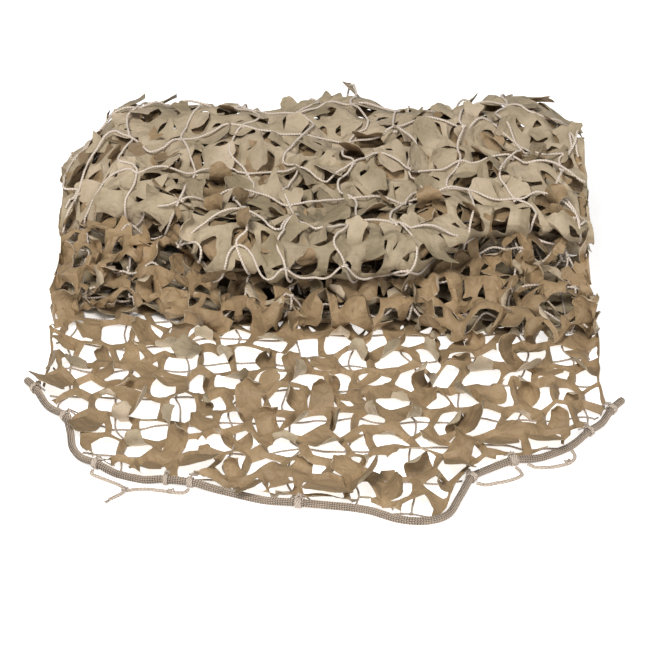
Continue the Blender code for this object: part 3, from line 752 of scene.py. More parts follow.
# Painted shade on the cloth deep in the folds, painted light on the ruffles, painted shade on the front roll
# and in the valley.
DEEP_PAINTED_SHADE = -0.45
RUFFLE_PAINTED_LIGHT = 0.15
ROLL_PAINTED_SHADE = -0.45
VALLEY_PAINTED_SHADE, VALLEY_SPAN = -0.55, 0.9
PAINTED_SHADE_SPAN = 140 * MM

# How far past its last station a manner goes on, in stations, and how far to each side of a back turn.
APRON_PAST, RUFFLE_PAST, RIDGE_PAST, ROLL_PAST = 0.18, 0.5, 0.7, 0.5
BACK_REACH = 1.4

SIDE_COLUMN = 45 * MM  # the width of cloth at each side where no leaf is turned outwards

# At the front's left corner, left of this place on the flat cloth and in front of it, leaves are larger.
CORNER = Vector((-100 * MM, 220 * MM))
CORNER_GROWTH = 1.14


class Stretch(NamedTuple):
    """A length of the cloth, from one station to another, that is made as a piece of its own."""

    name: str
    first: str
    last: str
    columns: int  # leaf cuts across the cloth
    pitch: float  # from one leaf cut to the next along the cloth
    rim_cuts: tuple  # points added along a cell's short edges, and along its upright ones
    leaf_grid: tuple  # the edges of the rim that a leaf hangs on, and a leaf's rows
    held: str


STRETCHES = (
    Stretch("cloth_apron", "front_edge", "under_turn_b", 16, 43 * MM, (3, 5), (7, 5), "laid"),
    Stretch("cloth_gather", "under_turn_b", "base_front", 18, 30 * MM, (3, 4), (6, 5), "folded"),
    Stretch("cloth_inner", "base_front", "fourth_front", 15, ALONG_PITCH, (1, 2), (4, 3), "folded"),
    Stretch("cloth_top", "fourth_front", "tuck_end", 17, 36 * MM, (3, 4), (6, 5), "folded"),
)

STANDING = math.radians(50)  # leaves bent up further have round tips
SHARP = math.radians(50)  # the cloth's cut edges look sharp
NECK = 6 * MM  # the least width of cloth between two holes
LEAST_HOLE = 0.3  # of its cell's half width, where the cell is so narrow that a neck would shut it
ROUNDING = 7  # how closely a hole's outline keeps to its cell's
FRAYED = 0.03  # how far the cloth's side edges wander in, as a share of its half width
OPENED = 0.1  # the share of the necks between holes that are cut through
UNOPENED = 50 * MM  # none is cut through this near to the rope
TABS, TAB_REACH = 0.6, 36 * MM  # the share of leaves this near to the rope that lie over it
CEILING = 135 * MM  # no leaf stands higher
WARP, WARP_LENGTH, WARP_SEEDS = 9 * MM, 110 * MM, (31, 32)  # how far the cuts stray from straight rows
SHAKE = 5 * MM
STAGGER = 0.1  # of the pitch: corners move this far along the cloth and back by turns, for six-sided cells
HOLE_TALL = 0.9  # of its cell's height
HOLE_STRETCHED = (0.85, 1.18)  # what its width is multiplied by and its height divided by
HOLE_WAVES = (2, 3, 4)  # how many waves go round its outline
WAVE_DEPTH = (0.04, 0.36)  # their least depth and their most, which is divided by how many there are
HINGE_CHORD = (0.55, 0.85)  # how far out the hole is cut straight, as a share of its half width
HINGE_SPAN = 0.3  # it is cut straight where the cosine of the angle from the hinge is more
LEAST_LEAF_CELL = 0.7  # narrower cells, as a share of a whole one, have no leaf
TWIST, CUP, LEAF_TONE = 0.3, (-0.2, 0.3), 0.5
LEAST_LIFT = 0.1  # of what its manner gives
TAB_GAP = 1 * MM  # between the rope and a leaf that lies over it
TAB_TURN, TAB_ANGLES, TAB_SIZE, TAB_BENT = 35, (3, 14), (0.9, 1.15), 0.5
LEAF_WIDTH = 0.92  # of its hole's
LEAF_SHORT = 1 * MM  # how much shorter a leaf is than the hole that it was cut from
FIRST_WIDTH = 0.15  # how far from its root a leaf's first width is, as a share of its length
ROOT_BLEND = 1.6  # a leaf is free of its root's curve after one part in this many of its length
ROW_CROWDING = 1.3  # how much closer its rows lie towards the tip
BORDER_GAP, BORDER_WAVES = 2.5 * MM, 60 * MM  # between the cloth's front edge and the rope
FLOOR_CLEARANCE = 0.5 * MM
LEAF_SEED = 7


def manner_at(stage):
    """How the cloth lies at a stage of the folds."""
    if stage < AT["apron_back"] + APRON_PAST:
        return APRON
    if stage < AT["under_turn_b"]:
        return HIDDEN
    if stage < AT["gather_turn_a"]:
        return GATHER
    if stage < AT["hump"] + RUFFLE_PAST:
        return RUFFLE
    if AT["fifth_turn_b"] <= stage < AT["ridge"] + RIDGE_PAST:
        return RIDGE
    backs = ("base_turn", "third_turn", "fifth_turn")
    if any(AT[name + "_a"] - BACK_REACH < stage < AT[name + "_b"] + BACK_REACH for name in backs):
        return BACK
    if AT["third_turn_high"] < stage < AT["fourth_turn_b"]:
        return LINING
    if AT["fourth_turn_b"] <= stage < AT["fifth_middle"]:
        return UNDER
    if AT["fifth_back"] <= stage < AT["crest"]:
        return TOP
    if AT["crest"] <= stage < AT["roll_under"] + ROLL_PAST:
        return ROLL
    return HIDDEN


def painted_fold_shading_at(across, stage):
    """The painted shade (below 0) and painted light (above 0) that the folds add to the cloth."""
    if manner_at(stage) in DEEP:
        return DEEP_PAINTED_SHADE
    if manner_at(stage) is RUFFLE:
        return RUFFLE_PAINTED_LIGHT
    middle = math.exp(-((across / PAINTED_SHADE_SPAN) ** 2))
    if manner_at(stage) is ROLL:
        return ROLL_PAINTED_SHADE * middle
    return VALLEY_PAINTED_SHADE * middle * math.exp(-(((stage - AT["valley"]) / VALLEY_SPAN) ** 2))


def brick_cells(stretch, chance):
    """A stretch of the flat cloth as cells, staggered row by row, with points for their holes' rims."""
    bm = bmesh.new()
    tones = bm.verts.layers.float.new("tone")
    bm.loops.layers.uv.new("cut")
    first, last = FOLDS.along(stretch.first), FOLDS.along(stretch.last)
    rows, halves = round((last - first) / stretch.pitch), 2 * stretch.columns
    bmesh.ops.create_grid(bm, x_segments=halves, y_segments=rows, size=0.5)
    for vert in bm.verts:
        vert.co = (round((vert.co.x + 0.5) * halves), round((vert.co.y + 0.5) * rows), 0)
    spare = []
    for edge in bm.edges:
        here, there = edge.verts
        half, row = round(here.co.x), round(min(here.co.y, there.co.y))
        if here.co.x == there.co.x and half not in (0, halves) and (half - row) % 2:
            spare.append(edge)
    bmesh.ops.dissolve_edges(bm, edges=spare, use_verts=True)
    upright = [edge for edge in bm.edges if edge.verts[0].co.x == edge.verts[1].co.x]
    level = [edge for edge in bm.edges if edge.verts[0].co.x != edge.verts[1].co.x]
    pitch = (last - first) / rows
    for vert in bm.verts:
        half, row = vert.co.xy
        inside = Vector((0 < half < halves, 0 < row < rows, 0))
        goes_on = any(edge.other_vert(vert).co.y > row for edge in vert.link_edges if edge in upright)
        vert.co = ((half / halves - 0.5) * WIDTH, first + row * pitch, 0)
        stray = [WARP * ripple(vert.co.x, vert.co.y, WARP_LENGTH, seed) for seed in WARP_SEEDS]
        shift = Vector([off + chance.uniform(-SHAKE, SHAKE) for off in stray] + [0])
        shift.y += STAGGER * pitch if goes_on else -STAGGER * pitch
        stage = FOLDS.stage(*vert.co.xy)
        manner = manner_at(stage)
        vert.co += shift * inside
        if not inside.x:
            vert.co.x *= 1 - chance.uniform(0, FRAYED)
        vert.co.z = manner.side * manner.rough * chance.random() * inside.y
        # The web's painted shade and light from the folds.
        vert[tones] = painted_fold_shading_at(vert.co.x, stage)
    bmesh.ops.bisect_edges(bm, edges=level, cuts=stretch.rim_cuts[0])
    bmesh.ops.bisect_edges(bm, edges=upright, cuts=stretch.rim_cuts[1])
    return bm


class Hole:
    """One leaf cut: its hole's outline, and the leaf that hangs on the rim."""

    def __init__(self, cell, stretch, chance):
        self.face = cell
        self.edges, self.rows = stretch.leaf_grid
        self.centre = cell.calc_center_median()
        stage = FOLDS.stage(*self.centre.xy)
        self.manner = manner_at(stage)
        columns, lines = [vert.co.x for vert in cell.verts], [vert.co.y for vert in cell.verts]
        wide = WIDTH / stretch.columns
        narrow = min(1.0, (max(columns) - min(columns)) / wide)
        tall = HOLE_TALL * (max(lines) - min(lines))
        size, stretched = chance.uniform(*self.manner.hole), chance.uniform(*HOLE_STRETCHED)
        self.half = Vector((size * stretched * wide * narrow, size / stretched * tall))
        least, most = WAVE_DEPTH
        self.waves = [(n, chance.uniform(0, math.tau), chance.uniform(least, most / n)) for n in HOLE_WAVES]
        self.hinge = chance.uniform(0, math.tau)
        self.chord = chance.uniform(*HINGE_CHORD)
        self.lift = (chance.uniform(0, math.tau), chance.uniform(LEAST_LIFT, 1.0) * self.manner.lift)
        self.has_leaf = narrow > LEAST_LEAF_CELL and chance.random() < self.manner.leaves
        self.size = chance.uniform(*self.manner.size)
        if self.manner is APRON and self.centre.x < CORNER.x and self.centre.y < CORNER.y:
            self.size *= CORNER_GROWTH
        kinds = self.manner.turns
        _, low, high, self.bent = chance.choices(kinds, weights=[kind[0] for kind in kinds])[0]
        self.angle = math.radians(chance.uniform(low, high))
        self.shape = chance.choice(LEAF_SHAPES[:3] if self.angle > STANDING else LEAF_SHAPES)
        beside = abs(self.centre.x) > WIDTH / 2 - SIDE_COLUMN
        if beside and self.angle > math.pi / 2 and math.cos(self.hinge) * self.centre.x > 0:
            self.angle = math.pi - self.angle  # it would stick out past the cloth's side
        self.twist = chance.uniform(-TWIST, TWIST)
        self.cup = chance.uniform(*CUP)
        # Its own random lightness, plus the painted shade and light of the folds.
        self.tone = chance.uniform(-LEAF_TONE, LEAF_TONE) + painted_fold_shading_at(self.centre.x, stage)
        self.corners = [vert.co - self.centre for vert in cell.verts]
        self.starts = []
        self.root = []

    def reach_over(self, chance):
        """Turns the leaf towards the cloth's front edge, to lie over the rope."""
        self.hinge = math.radians(90 + chance.uniform(-TAB_TURN, TAB_TURN))
        self.angle, self.bent = math.radians(chance.uniform(*TAB_ANGLES)), TAB_BENT
        self.has_leaf, self.size = True, chance.uniform(*TAB_SIZE)

    def oval(self, angle):
        """One over the half width in a direction, before the outline is given its waves."""
        return math.hypot(math.cos(angle) / self.half.x, math.sin(angle) / self.half.y)

    def reach(self, angle):
        """The hole's half width in a direction, cut straight along its hinge."""
        wave = 1 + sum(size * math.cos(n * angle + phase) for n, phase, size in self.waves)
        reach = wave / self.oval(angle)
        straight = math.cos(angle - self.hinge)
        if straight > HINGE_SPAN:
            reach = min(reach, self.chord * (1 / self.oval(self.hinge)) / straight)
        return reach

    def rim_point(self, outer):
        """Where the rim lies on the way to a point of the cell's edge."""
        angle = math.atan2(outer.y, outer.x)
        most = max(outer.xy.length - NECK / 2, LEAST_HOLE * outer.xy.length)
        reach = (self.reach(angle) ** -ROUNDING + most**-ROUNDING) ** (-1 / ROUNDING)
        rise = self.manner.side * self.lift[1] * (0.5 + 0.5 * math.cos(angle - self.lift[0])) ** 2
        return Vector((math.cos(angle) * reach, math.sin(angle) * reach, outer.z + rise))

    def place_rim(self, share):
        """Moves the cell's inner loop a share of the way from the cell's edge to the hole's outline."""
        verts = self.face.verts
        self.starts = self.starts or [vert.co.copy() for vert in verts]
        for vert, start, corner in zip(verts, self.starts, self.corners):
            vert.co = start.lerp(self.centre * Vector((1, 1, 0)) + self.rim_point(corner), share)

    def find_root(self):
        """The rim points that the leaf hangs on, those nearest its hinge."""
        verts = list(self.face.verts)
        ahead = Vector((math.cos(self.hinge), math.sin(self.hinge)))
        ways = [(vert.co.xy - self.centre.xy).normalized().dot(ahead) for vert in verts]
        first = ways.index(max(ways)) - self.edges // 2
        self.root = [verts[(first + i) % len(verts)] for i in range(self.edges + 1)]
        self.flat_root = [vert.co.xy for vert in self.root]

    def measure_leaf(self):
        """The leaf's half width and length, from where its root lies on the flat cloth."""
        chord = self.flat_root[-1] - self.flat_root[0]
        middle = (self.flat_root[0] + self.flat_root[-1]) / 2
        inwards = self.centre.xy - middle
        far = self.reach(math.atan2(inwards.y, inwards.x))
        width = LEAF_WIDTH * self.reach(math.atan2(chord.y, chord.x))
        return self.size * width, self.size * self.shape.length * (far + inwards.length) - LEAF_SHORT

    def leaf_rows(self, centre, normal):
        """The leaf's points row by row from its root, over cloth that faces along the normal."""
        base = [vert.co.copy() for vert in self.root]
        middle = (base[0] + base[-1]) / 2
        across = (base[-1] - base[0]).normalized()
        inwards = centre - middle
        inwards = (inwards - across * inwards.dot(across)).normalized()
        outwards = across.cross(inwards)
        if outwards.dot(normal) * self.manner.side < 0:
            outwards = -outwards
        width, length = self.measure_leaf()
        flat_middle = (self.flat_root[0] + self.flat_root[-1]) / 2
        flat_across = (self.flat_root[-1] - self.flat_root[0]).normalized()
        flat_inwards = (self.centre.xy - flat_middle).normalized()
        ways = np.zeros(self.edges + 1)
        spots = np.zeros((self.edges + 1, 2))
        rows = []
        lengths = np.linspace(FIRST_WIDTH, 1, len(self.shape.widths))
        for row in range(1, self.rows + 1):
            u = row / self.rows
            half = width * float(np.interp(u, lengths, self.shape.widths))
            blend = min(1, u * ROOT_BLEND)
            here, flat = [], []
            for i, start in enumerate(base):
                v = 2 * i / self.edges - 1
                reach = length * (1 - (1 - u) ** ROW_CROWDING)
                reach *= 1 - self.shape.tip * u * u * v * v - self.shape.notch * u * u * (1 - abs(v)) ** 2
                angle = self.angle * min(1, u / self.bent) * (1 + self.twist * v)
                step = reach - ways[i]
                ways[i] = reach
                spots[i] += (step * math.cos(angle), step * math.sin(angle))
                root = (start - middle) * (1 - blend)
                curl = spots[i][1] + self.cup * half * v * v * u
                place = middle + root + across * (v * half * blend)
                here.append(place + inwards * spots[i][0] + outwards * curl)
                flat.append(flat_middle + flat_across * (v * half) + flat_inwards * reach)
            rows.append((here, flat))
        return rows


def edge_between(a, b):
    """The edge that joins two points."""
    return next(edge for edge in a.link_edges if edge.other_vert(a) == b)


def drawn_from(vert, made):
    """The new point that an extrusion drew out of a rim's point."""
    return next(edge.other_vert(vert) for edge in vert.link_edges if edge.other_vert(vert) in made)


def necks_between(bm):
    """The middle edges of each side that two cells share."""
    shared = {}
    for edge in bm.edges:
        if len(edge.link_faces) == 2 and all(len(vert.link_edges) == 2 for vert in edge.verts):
            shared.setdefault(frozenset(face.index for face in edge.link_faces), []).append(edge)
    return list(shared.values())


def open_necks(bm, necks, leafy, border, chance):
    """Cuts through some of the necks where the tan face is out, so that two holes become one."""
    hung = {vert for hole in leafy for vert in hole.root}
    cut = set()
    for neck in necks:
        middle = (neck[0].verts[0].co + neck[-1].verts[1].co) / 2
        if chance.random() > OPENED or manner_at(FOLDS.stage(*middle.xy)) not in (APRON, RUFFLE):
            continue
        if border.near(FOLDS.carry([middle])[0][0], UNOPENED):
            continue
        faces = set()
        for edge in neck:
            for face in edge.link_faces:
                across = next(other for other in face.edges if not set(other.verts) & set(edge.verts))
                faces |= {face, *across.link_faces}
        if hung.isdisjoint(vert for face in faces for vert in face.verts):
            cut |= faces
    bmesh.ops.delete(bm, geom=list(cut), context="FACES")


def cut_holes(bm, stretch, border, chance):
    """Cuts every cell's hole, and says which holes keep their leaf."""
    cells = list(bm.faces)
    bm.faces.index_update()
    necks = necks_between(bm)
    holes = [Hole(cell, stretch, chance) for cell in cells]
    for hole, place in zip(holes, FOLDS.carry([hole.centre for hole in holes])[0]):
        if border.near(place, TAB_REACH) and chance.random() < TABS:
            hole.reach_over(chance)
    for share in (0.5, 1.0):
        bmesh.ops.inset_individual(bm, faces=cells, thickness=0.5 * MM)
        for hole in holes:
            hole.place_rim(share)
    leafy = [hole for hole in holes if hole.has_leaf]
    for hole in leafy:
        hole.find_root()
    bmesh.ops.delete(bm, geom=cells, context="FACES_ONLY")
    open_necks(bm, necks, leafy, border, chance)
    return leafy


class Border:
    """The line beside the rope that the cloth's front edge follows."""

    def __init__(self):
        self.line = np.array(rope_line(ROPE_SPACING / 2))[:, :2]
        self.ahead = unit(np.gradient(self.line, axis=0))
        self.inwards = np.stack([-self.ahead[:, 1], self.ahead[:, 0]], axis=1)
        gaps = BORDER_GAP * (1 + ripple(*self.line.T, BORDER_WAVES, seed=41))
        self.edge = self.line + self.inwards * (ROPE_DIAMETER / 2 + np.maximum(gaps, 0.5 * MM))[:, None]

    def behind(self, place):
        """How far a place lies behind the rope's centreline, and the border's nearest point."""
        nearest = int(np.linalg.norm(self.line - place[:2], axis=1).argmin())
        return float((place[:2] - self.line[nearest]) @ self.inwards[nearest]), nearest

    def near(self, place, distance):
        """Whether a place in the netting's front half lies less than a distance behind the rope."""
        return place[1] < 0 and self.behind(place)[0] < distance


def lay_web(bm, border):
    """Carries the flat cloth to its folds, draws back what lies past its edges, and says what did."""
    pattern = np.array([vert.co for vert in bm.verts])
    places, _ = FOLDS.carry(pattern)
    places[:, 2] = np.maximum(places[:, 2], FLOOR_CLEARANCE)
    past = {vert for vert, far in zip(bm.verts, FOLDS.past_end(pattern)) if far}
    for vert, place in zip(bm.verts, places):
        if place[1] < 0:
            depth, nearest = border.behind(place)
            if depth < (border.edge[nearest] - border.line[nearest]) @ border.inwards[nearest]:
                place[:2] = border.edge[nearest]
                past.add(vert)
        vert.co = place
    return past


def rows_below_ceiling(hole, centre, normal):
    """A leaf's rows, bent less where the leaf would stand too high."""
    rows = hole.leaf_rows(centre, normal)
    while abs(hole.angle) > 0.03 and max(place.z for here, _ in rows for place in here) > CEILING:
        hole.angle *= 0.6
        rows = hole.leaf_rows(centre, normal)
    return rows


def grow_leaves(bm, holes, grid, cut, border):
    """Draws each leaf out of its hole's rim, and lets it lie over the rope where it reaches that far."""
    centres, normals = FOLDS.carry([hole.centre for hole in holes])
    tones = bm.verts.layers.float["tone"]
    tips = [edge_between(a, b) for hole in holes for a, b in zip(hole.root, hole.root[1:])]
    lies = zip(holes, centres, normals)
    rows = [rows_below_ceiling(hole, Vector(centre), Vector(normal)) for hole, centre, normal in lies]
    for row in range(grid[1]):
        made = set(bmesh.ops.extrude_edge_only(bm, edges=tips)["geom"])
        tips = []
        for hole, places in zip(holes, rows):
            fresh = [drawn_from(vert, made) for vert in hole.root]
            for vert, place, flat in zip(fresh, *places[row]):
                place.z = max(place.z, FLOOR_CLEARANCE)
                if border.near(np.array(place), ROPE_DIAMETER):
                    place.z = max(place.z, ROPE_DIAMETER + TAB_GAP)
                vert.co = place
                vert[tones] = hole.tone
                cut[vert] = Vector(flat)
            tips += [edge_between(a, b) for a, b in zip(fresh, fresh[1:])]
            hole.root = fresh


def flat_area(bm, lay):
    """The area that the bmesh's faces have on the flat cloth."""
    total = 0.0
    for face in bm.faces:
        corners = [loop[lay].uv for loop in face.loops]
        total += abs(sum(a.cross(b) for a, b in zip(corners, corners[1:] + corners[:1]))) / 2
    return total


def make_cloth(stretch, thickness, finishes):
    """Makes one stretch of the cloth: cut in holes and leaves, laid in its folds and given thickness."""
    chance = random.Random(LEAF_SEED + STRETCHES.index(stretch))
    border = Border()
    bm = brick_cells(stretch, chance)
    holes = cut_holes(bm, stretch, border, chance)
    cut = {vert: vert.co.xy for vert in bm.verts}
    past = lay_web(bm, border)
    hung = [hole for hole in holes if past.isdisjoint(hole.root)]
    grow_leaves(bm, hung, stretch.leaf_grid, cut, border)
    lay = bm.loops.layers.uv["cut"]
    for face in bm.faces:
        for loop in face.loops:
            loop[lay].uv = cut[loop.vert]
        face.smooth = True
    spare = [face for face in bm.faces if past.issuperset(face.verts)]
    bmesh.ops.delete(bm, geom=spare, context="FACES")
    bmesh.ops.dissolve_degenerate(bm, dist=0.05 * MM, edges=bm.edges)
    area = flat_area(bm, lay)
    piece = show(bm, stretch.name, finishes, ["garnish_cloth"])
    shell = piece.modifiers.new("thickness", "SOLIDIFY")
    shell.thickness = thickness
    shell.offset = 0
    shell.material_offset = shell.material_offset_rim = 1
    settle_modifiers(piece)
    piece.data.set_sharp_from_angle(angle=SHARP)


def settle_modifiers(piece):
    """Makes a piece's modifiers part of its mesh."""
    graph = bpy.context.evaluated_depsgraph_get()
    mesh = bpy.data.meshes.new_from_object(piece.evaluated_get(graph))
    piece.modifiers.clear()
    old, piece.data = piece.data, mesh
    name = old.name
    bpy.data.meshes.remove(old)
    mesh.name = name


# ---------------------------------------------------------------------------------------------------
# The knotted net.

PULLED_THIN = 0.88  # the thickness of the twine under the cloth, as a share of what it has over it
KNOT, LEAST_KNOT, LEAST_KNOT_TWINE = 2.5 * MM, 0.7, 0.8  # its size, and its shares where nothing shows
KNOT_LOOPS, KNOT_RINGS = 1.6, 10  # how far out a knot's three loops swing, and the points of its line
# Painted shade on the net's twine where it lies under the cloth, and painted light where it shows over the
# leaves.
HIDDEN_PAINTED_SHADE, SHOWN_PAINTED_LIGHT = -0.45, 0.5
KNOT_SHAKE, TOP_KNOT_SHAKE = 8 * MM, 10 * MM  # how far a knot strays, and how far on the heap's top
FIRST_BAR = 0.4  # how far along the cloth the first bar lies, as a share of the mesh
SLACK, TOP_SLACK, SLACK_AT = 8 * MM, 22 * MM, (0.3, 0.7)  # how far a bar bows, and where along it
TWINE_STEP = 4 * MM
NET_SEED = 12
NET_HEIGHT = 9 * MM  # the most that a strand rises over the leaves
NET_MARGIN = 12 * MM  # from the ends of the bars to the cloth's sides
NET_BELOW, NET_ABOVE = 0.3 * MM, 0.6 * MM  # its gap under the cloth, and over the leaves
PROBE = 30 * MM  # how far out the leaves are looked for
WINDOW = 3  # a strand clears the leaves by this many of its steps to each side
GATHERED_SHOWS = 0.7  # how much of the net shows at the gathered cloth, for its thickness and its painted light
LEAST_KNOT_HEIGHT = 2.2 * MM
RUN_STEPS, RUN_HEIGHTS = 8, (1.0,) * 9 + (0.4,)  # every so many points, one in ten slips under the leaves


def knots_of_net(pitch, chance):
    """The net's knots on the flat cloth, evenly meshed and then shaken."""
    strands = round(WIDTH / pitch)
    bars = math.floor(FOLDS.length / pitch)
    knots = {}
    for i in range(strands):
        for j in range(bars + 1):
            across = ((i + 0.5) / strands - 0.5) * WIDTH
            along = (j + FIRST_BAR) * pitch
            loose = TOP_KNOT_SHAKE if FOLDS.stage(across, along) > AT["fifth_back"] else KNOT_SHAKE
            across += chance.uniform(-loose, loose)
            along += chance.uniform(-loose, loose)
            knots[i, j] = Vector((across, min(along, FOLDS.length), 0))
    return strands, bars, knots


def strand_points(ends, chance):
    """A strand's points from knot to knot, each bar bowed to one side by its slack."""
    points = [ends[0]]
    for here, there in zip(ends, ends[1:]):
        stage = FOLDS.stage(*((here + there) / 2).xy)
        slack = TOP_SLACK if stage > AT["fifth_back"] else SLACK
        ahead = there - here
        aside = Vector((-ahead.y, ahead.x, 0)).normalized() * chance.uniform(-slack, slack)
        lean = chance.uniform(*SLACK_AT)
        points += [here.lerp(there, lean) + aside, there]
    return smooth_line(points, TWINE_STEP)


def over_window(values, take):
    """The most, or the mean, of the values about each one."""
    padded = np.pad(values, WINDOW, mode="edge")
    return take([padded[k : k + len(values)] for k in range(2 * WINDOW + 1)], axis=0)


def lay_strand(points, tree, sizes, chance):
    """A strand of the net in place: under the cloth on the floor, and over the leaves on the heap."""
    pattern = np.array(points)
    pattern[:, 2] = -(sizes.cloth / 2 + sizes.twine / 2 + NET_BELOW)
    places, normals = FOLDS.carry(pattern)
    stages = FOLDS.read(FOLDS.stages, pattern[:, 0], pattern[:, 1])
    out = smoothstep(stages, AT["fifth_back"] - 0.5, AT["fifth_turn_b"]) * (stages < AT["roll_under"])
    heights = np.zeros(len(places))
    for i in np.nonzero(out > 0)[0]:
        start = Vector(places[i] - normals[i] * PROBE)
        hit = tree.ray_cast(start, Vector(normals[i]), PROBE)
        heights[i] = min(PROBE - hit[3], NET_HEIGHT) if hit[0] else 0
    level = over_window(over_window(heights, np.max), np.mean)
    wave = np.interp(np.arange(len(heights)), *hidden_runs(len(heights), chance))
    lifted = places - normals * ((level * wave + NET_ABOVE) * out)[:, None]
    lifted[:, 2] = np.maximum(lifted[:, 2], sizes.twine / 2)
    gathered = (stages > AT["gather_turn_a"]) & (stages < AT["hump_toe"])
    return lifted, np.maximum(out, GATHERED_SHOWS * gathered), ~FOLDS.past_end(pattern)


def hidden_runs(count, chance):
    """Where a strand comes out over the leaves, 1, and where it slips under them, lower."""
    at = list(range(0, count + RUN_STEPS, RUN_STEPS))
    return at, [chance.choice(RUN_HEIGHTS) for _ in at]


def inside_border(places, border):
    """Whether each place lies behind the rope."""
    return np.array([place[1] > 0 or border.behind(place)[0] > ROPE_DIAMETER / 2 for place in places])


def trefoil(radius, rings):
    """The line of an overhand knot drawn tight."""
    turn = np.linspace(0, math.tau, rings, endpoint=False)
    x = np.sin(turn) + KNOT_LOOPS * np.sin(2 * turn)
    y = np.cos(turn) - KNOT_LOOPS * np.cos(2 * turn)
    return np.stack([x, y, -np.sin(3 * turn)], axis=1) * radius / (1 + KNOT_LOOPS)


def add_knot(bm, place, turn, radius, twine, tone=0.0):
    """Adds a small tight knot of twine."""
    line = trefoil(radius, KNOT_RINGS)
    line = np.vstack([line, line[:1]]) @ np.array(turn.to_3x3()).T + np.array(place)
    add_tube(bm, line, twine / 2, sides=4, tone=tone)


def between(hidden, shown, share):
    """From a measure of what is hidden to that of what shows, by the share of it that shows."""
    return hidden + (shown - hidden) * share


def make_net(sizes, finish):
    """Makes the net: its strands along the cloth, its bars across, and a knot at every crossing."""
    chance = random.Random(NET_SEED)
    border = Border()
    cloth = bpy.data.objects["cloth_top"].data
    cloth.calc_loop_triangles()
    corners = [vert.co for vert in cloth.vertices]
    tree = BVHTree.FromPolygons(corners, [tuple(face.vertices) for face in cloth.loop_triangles])
    strands, bars, knots = knots_of_net(sizes.mesh, chance)
    runs = [[knots[i, j] for j in range(bars + 1)] for i in range(strands)]
    edge = WIDTH / 2 - NET_MARGIN
    for j in range(bars + 1):
        row = [knots[i, j] for i in range(strands)]
        runs.append([Vector((-edge, row[0].y, 0)), *row, Vector((edge, row[-1].y, 0))])
    bm = bmesh.new()
    for run in runs:
        places, out, before_end = lay_strand(strand_points(run, chance), tree, sizes, chance)
        kept = inside_border(places, border) & before_end
        for stretch in np.split(np.arange(len(places)), np.nonzero(np.diff(kept.astype(int)))[0] + 1):
            if kept[stretch[0]] and len(stretch) > 2:
                shown = out[stretch]
                radii = sizes.twine * between(PULLED_THIN, 1, shown) / 2
                # Painted shade where the strand is under the cloth, painted light where it shows.
                tone = between(HIDDEN_PAINTED_SHADE, SHOWN_PAINTED_LIGHT, shown)
                add_tube(bm, places[stretch], radii, sides=5, tone=tone)
    for knot in knots.values():
        beside = Vector((1 * MM, 0, 0))
        places, out, before_end = lay_strand([knot - beside, knot, knot + beside], tree, sizes, chance)
        if before_end[1] and inside_border(places[1:2], border)[0]:
            turn = Matrix.Rotation(chance.uniform(0, math.tau), 4, "Z")
            places[1][2] = max(places[1][2], LEAST_KNOT_HEIGHT)
            radius = KNOT * between(LEAST_KNOT, 1, out[1])
            twine = sizes.twine * between(LEAST_KNOT_TWINE, 1, out[1])
            # The knot's painted shade and light, as the strand's.
            add_knot(bm, places[1], turn, radius, twine, between(HIDDEN_PAINTED_SHADE, SHOWN_PAINTED_LIGHT, out[1]))
    return show(bm, "twine_net", [finish], ["net"])


# ---------------------------------------------------------------------------------------------------
# The border rope and its ties.

BRAID_YARNS = 12  # each way round
BRAID_LAY = 30 * MM
BRAID_STEP = 1.25 * MM
BRAID_GUIDE = 4 * MM  # between the points of the line that the braid follows
BRAID_WEAVE, BRAID_INSET = 0.45 * MM, 0.3 * MM  # how far the yarns weave in and out, and how deep they lie
CORE_STEPS = 4  # the core's line has one point in this many of the yarns'


def make_rope(yarn_width, finish, core):
    """The border rope: yarns braided over and under each other round a core."""
    line = spaced(rope_line(BRAID_GUIDE), BRAID_STEP)
    _, aside, above = frames_along(line)
    way = np.arange(len(line)) * BRAID_STEP
    bm = bmesh.new()
    weave = BRAID_WEAVE * np.cos(2 * BRAID_YARNS * math.pi * way / BRAID_LAY)
    for hand in (1, -1):
        radius = ROPE_DIAMETER / 2 - yarn_width / 2 - BRAID_INSET + hand * weave
        for yarn in range(BRAID_YARNS):
            angle = hand * math.tau * way / BRAID_LAY + math.tau * yarn / BRAID_YARNS
            place = line + radius[:, None] * turned(aside, above, angle[:, None])
            add_tube(bm, place, yarn_width / 2, sides=4, tone=0.1 + 0.6 * hand)
    rope = show(bm, "braided_rope", [finish], ["border_rope"])
    # The dark core is painted shade, seen in the gaps between the yarns.
    bm = bmesh.new()
    add_tube(bm, line[::CORE_STEPS], ROPE_DIAMETER / 2 - 1.4 * yarn_width, sides=8)
    show(bm, "rope_core", [core])
    return rope


class Tie(NamedTuple):
    """One tie on the rope: how many turns it has, and what is left of its twine after the knot."""

    turns: float
    bows: tuple = ()  # (length, direction in degrees from the rope) of each loop, in millimetres
    ends: tuple = ()  # the same for each short end
    side: float = 60  # where round the rope the knot sits, in degrees above the cloth's side


TIES = (
    Tie(3, ends=((14, 150), (10, 20))),
    Tie(4, bows=((13, 75), (11, 20)), ends=((9, 110),)),
    Tie(4, ends=((15, 40), (9, 130))),
    Tie(3, ends=((8, 100),)),
    Tie(4, ends=((7, 60),)),
    Tie(4, bows=((14, 165), (13, 15)), ends=((10, 80), (8, 120))),
    Tie(4, bows=((9, 100),), ends=((8, 30),)),
    Tie(5, ends=((9, 120),)),
    Tie(3, ends=((10, 60), (8, 140))),
    Tie(4, ends=((9, 90),)),
)


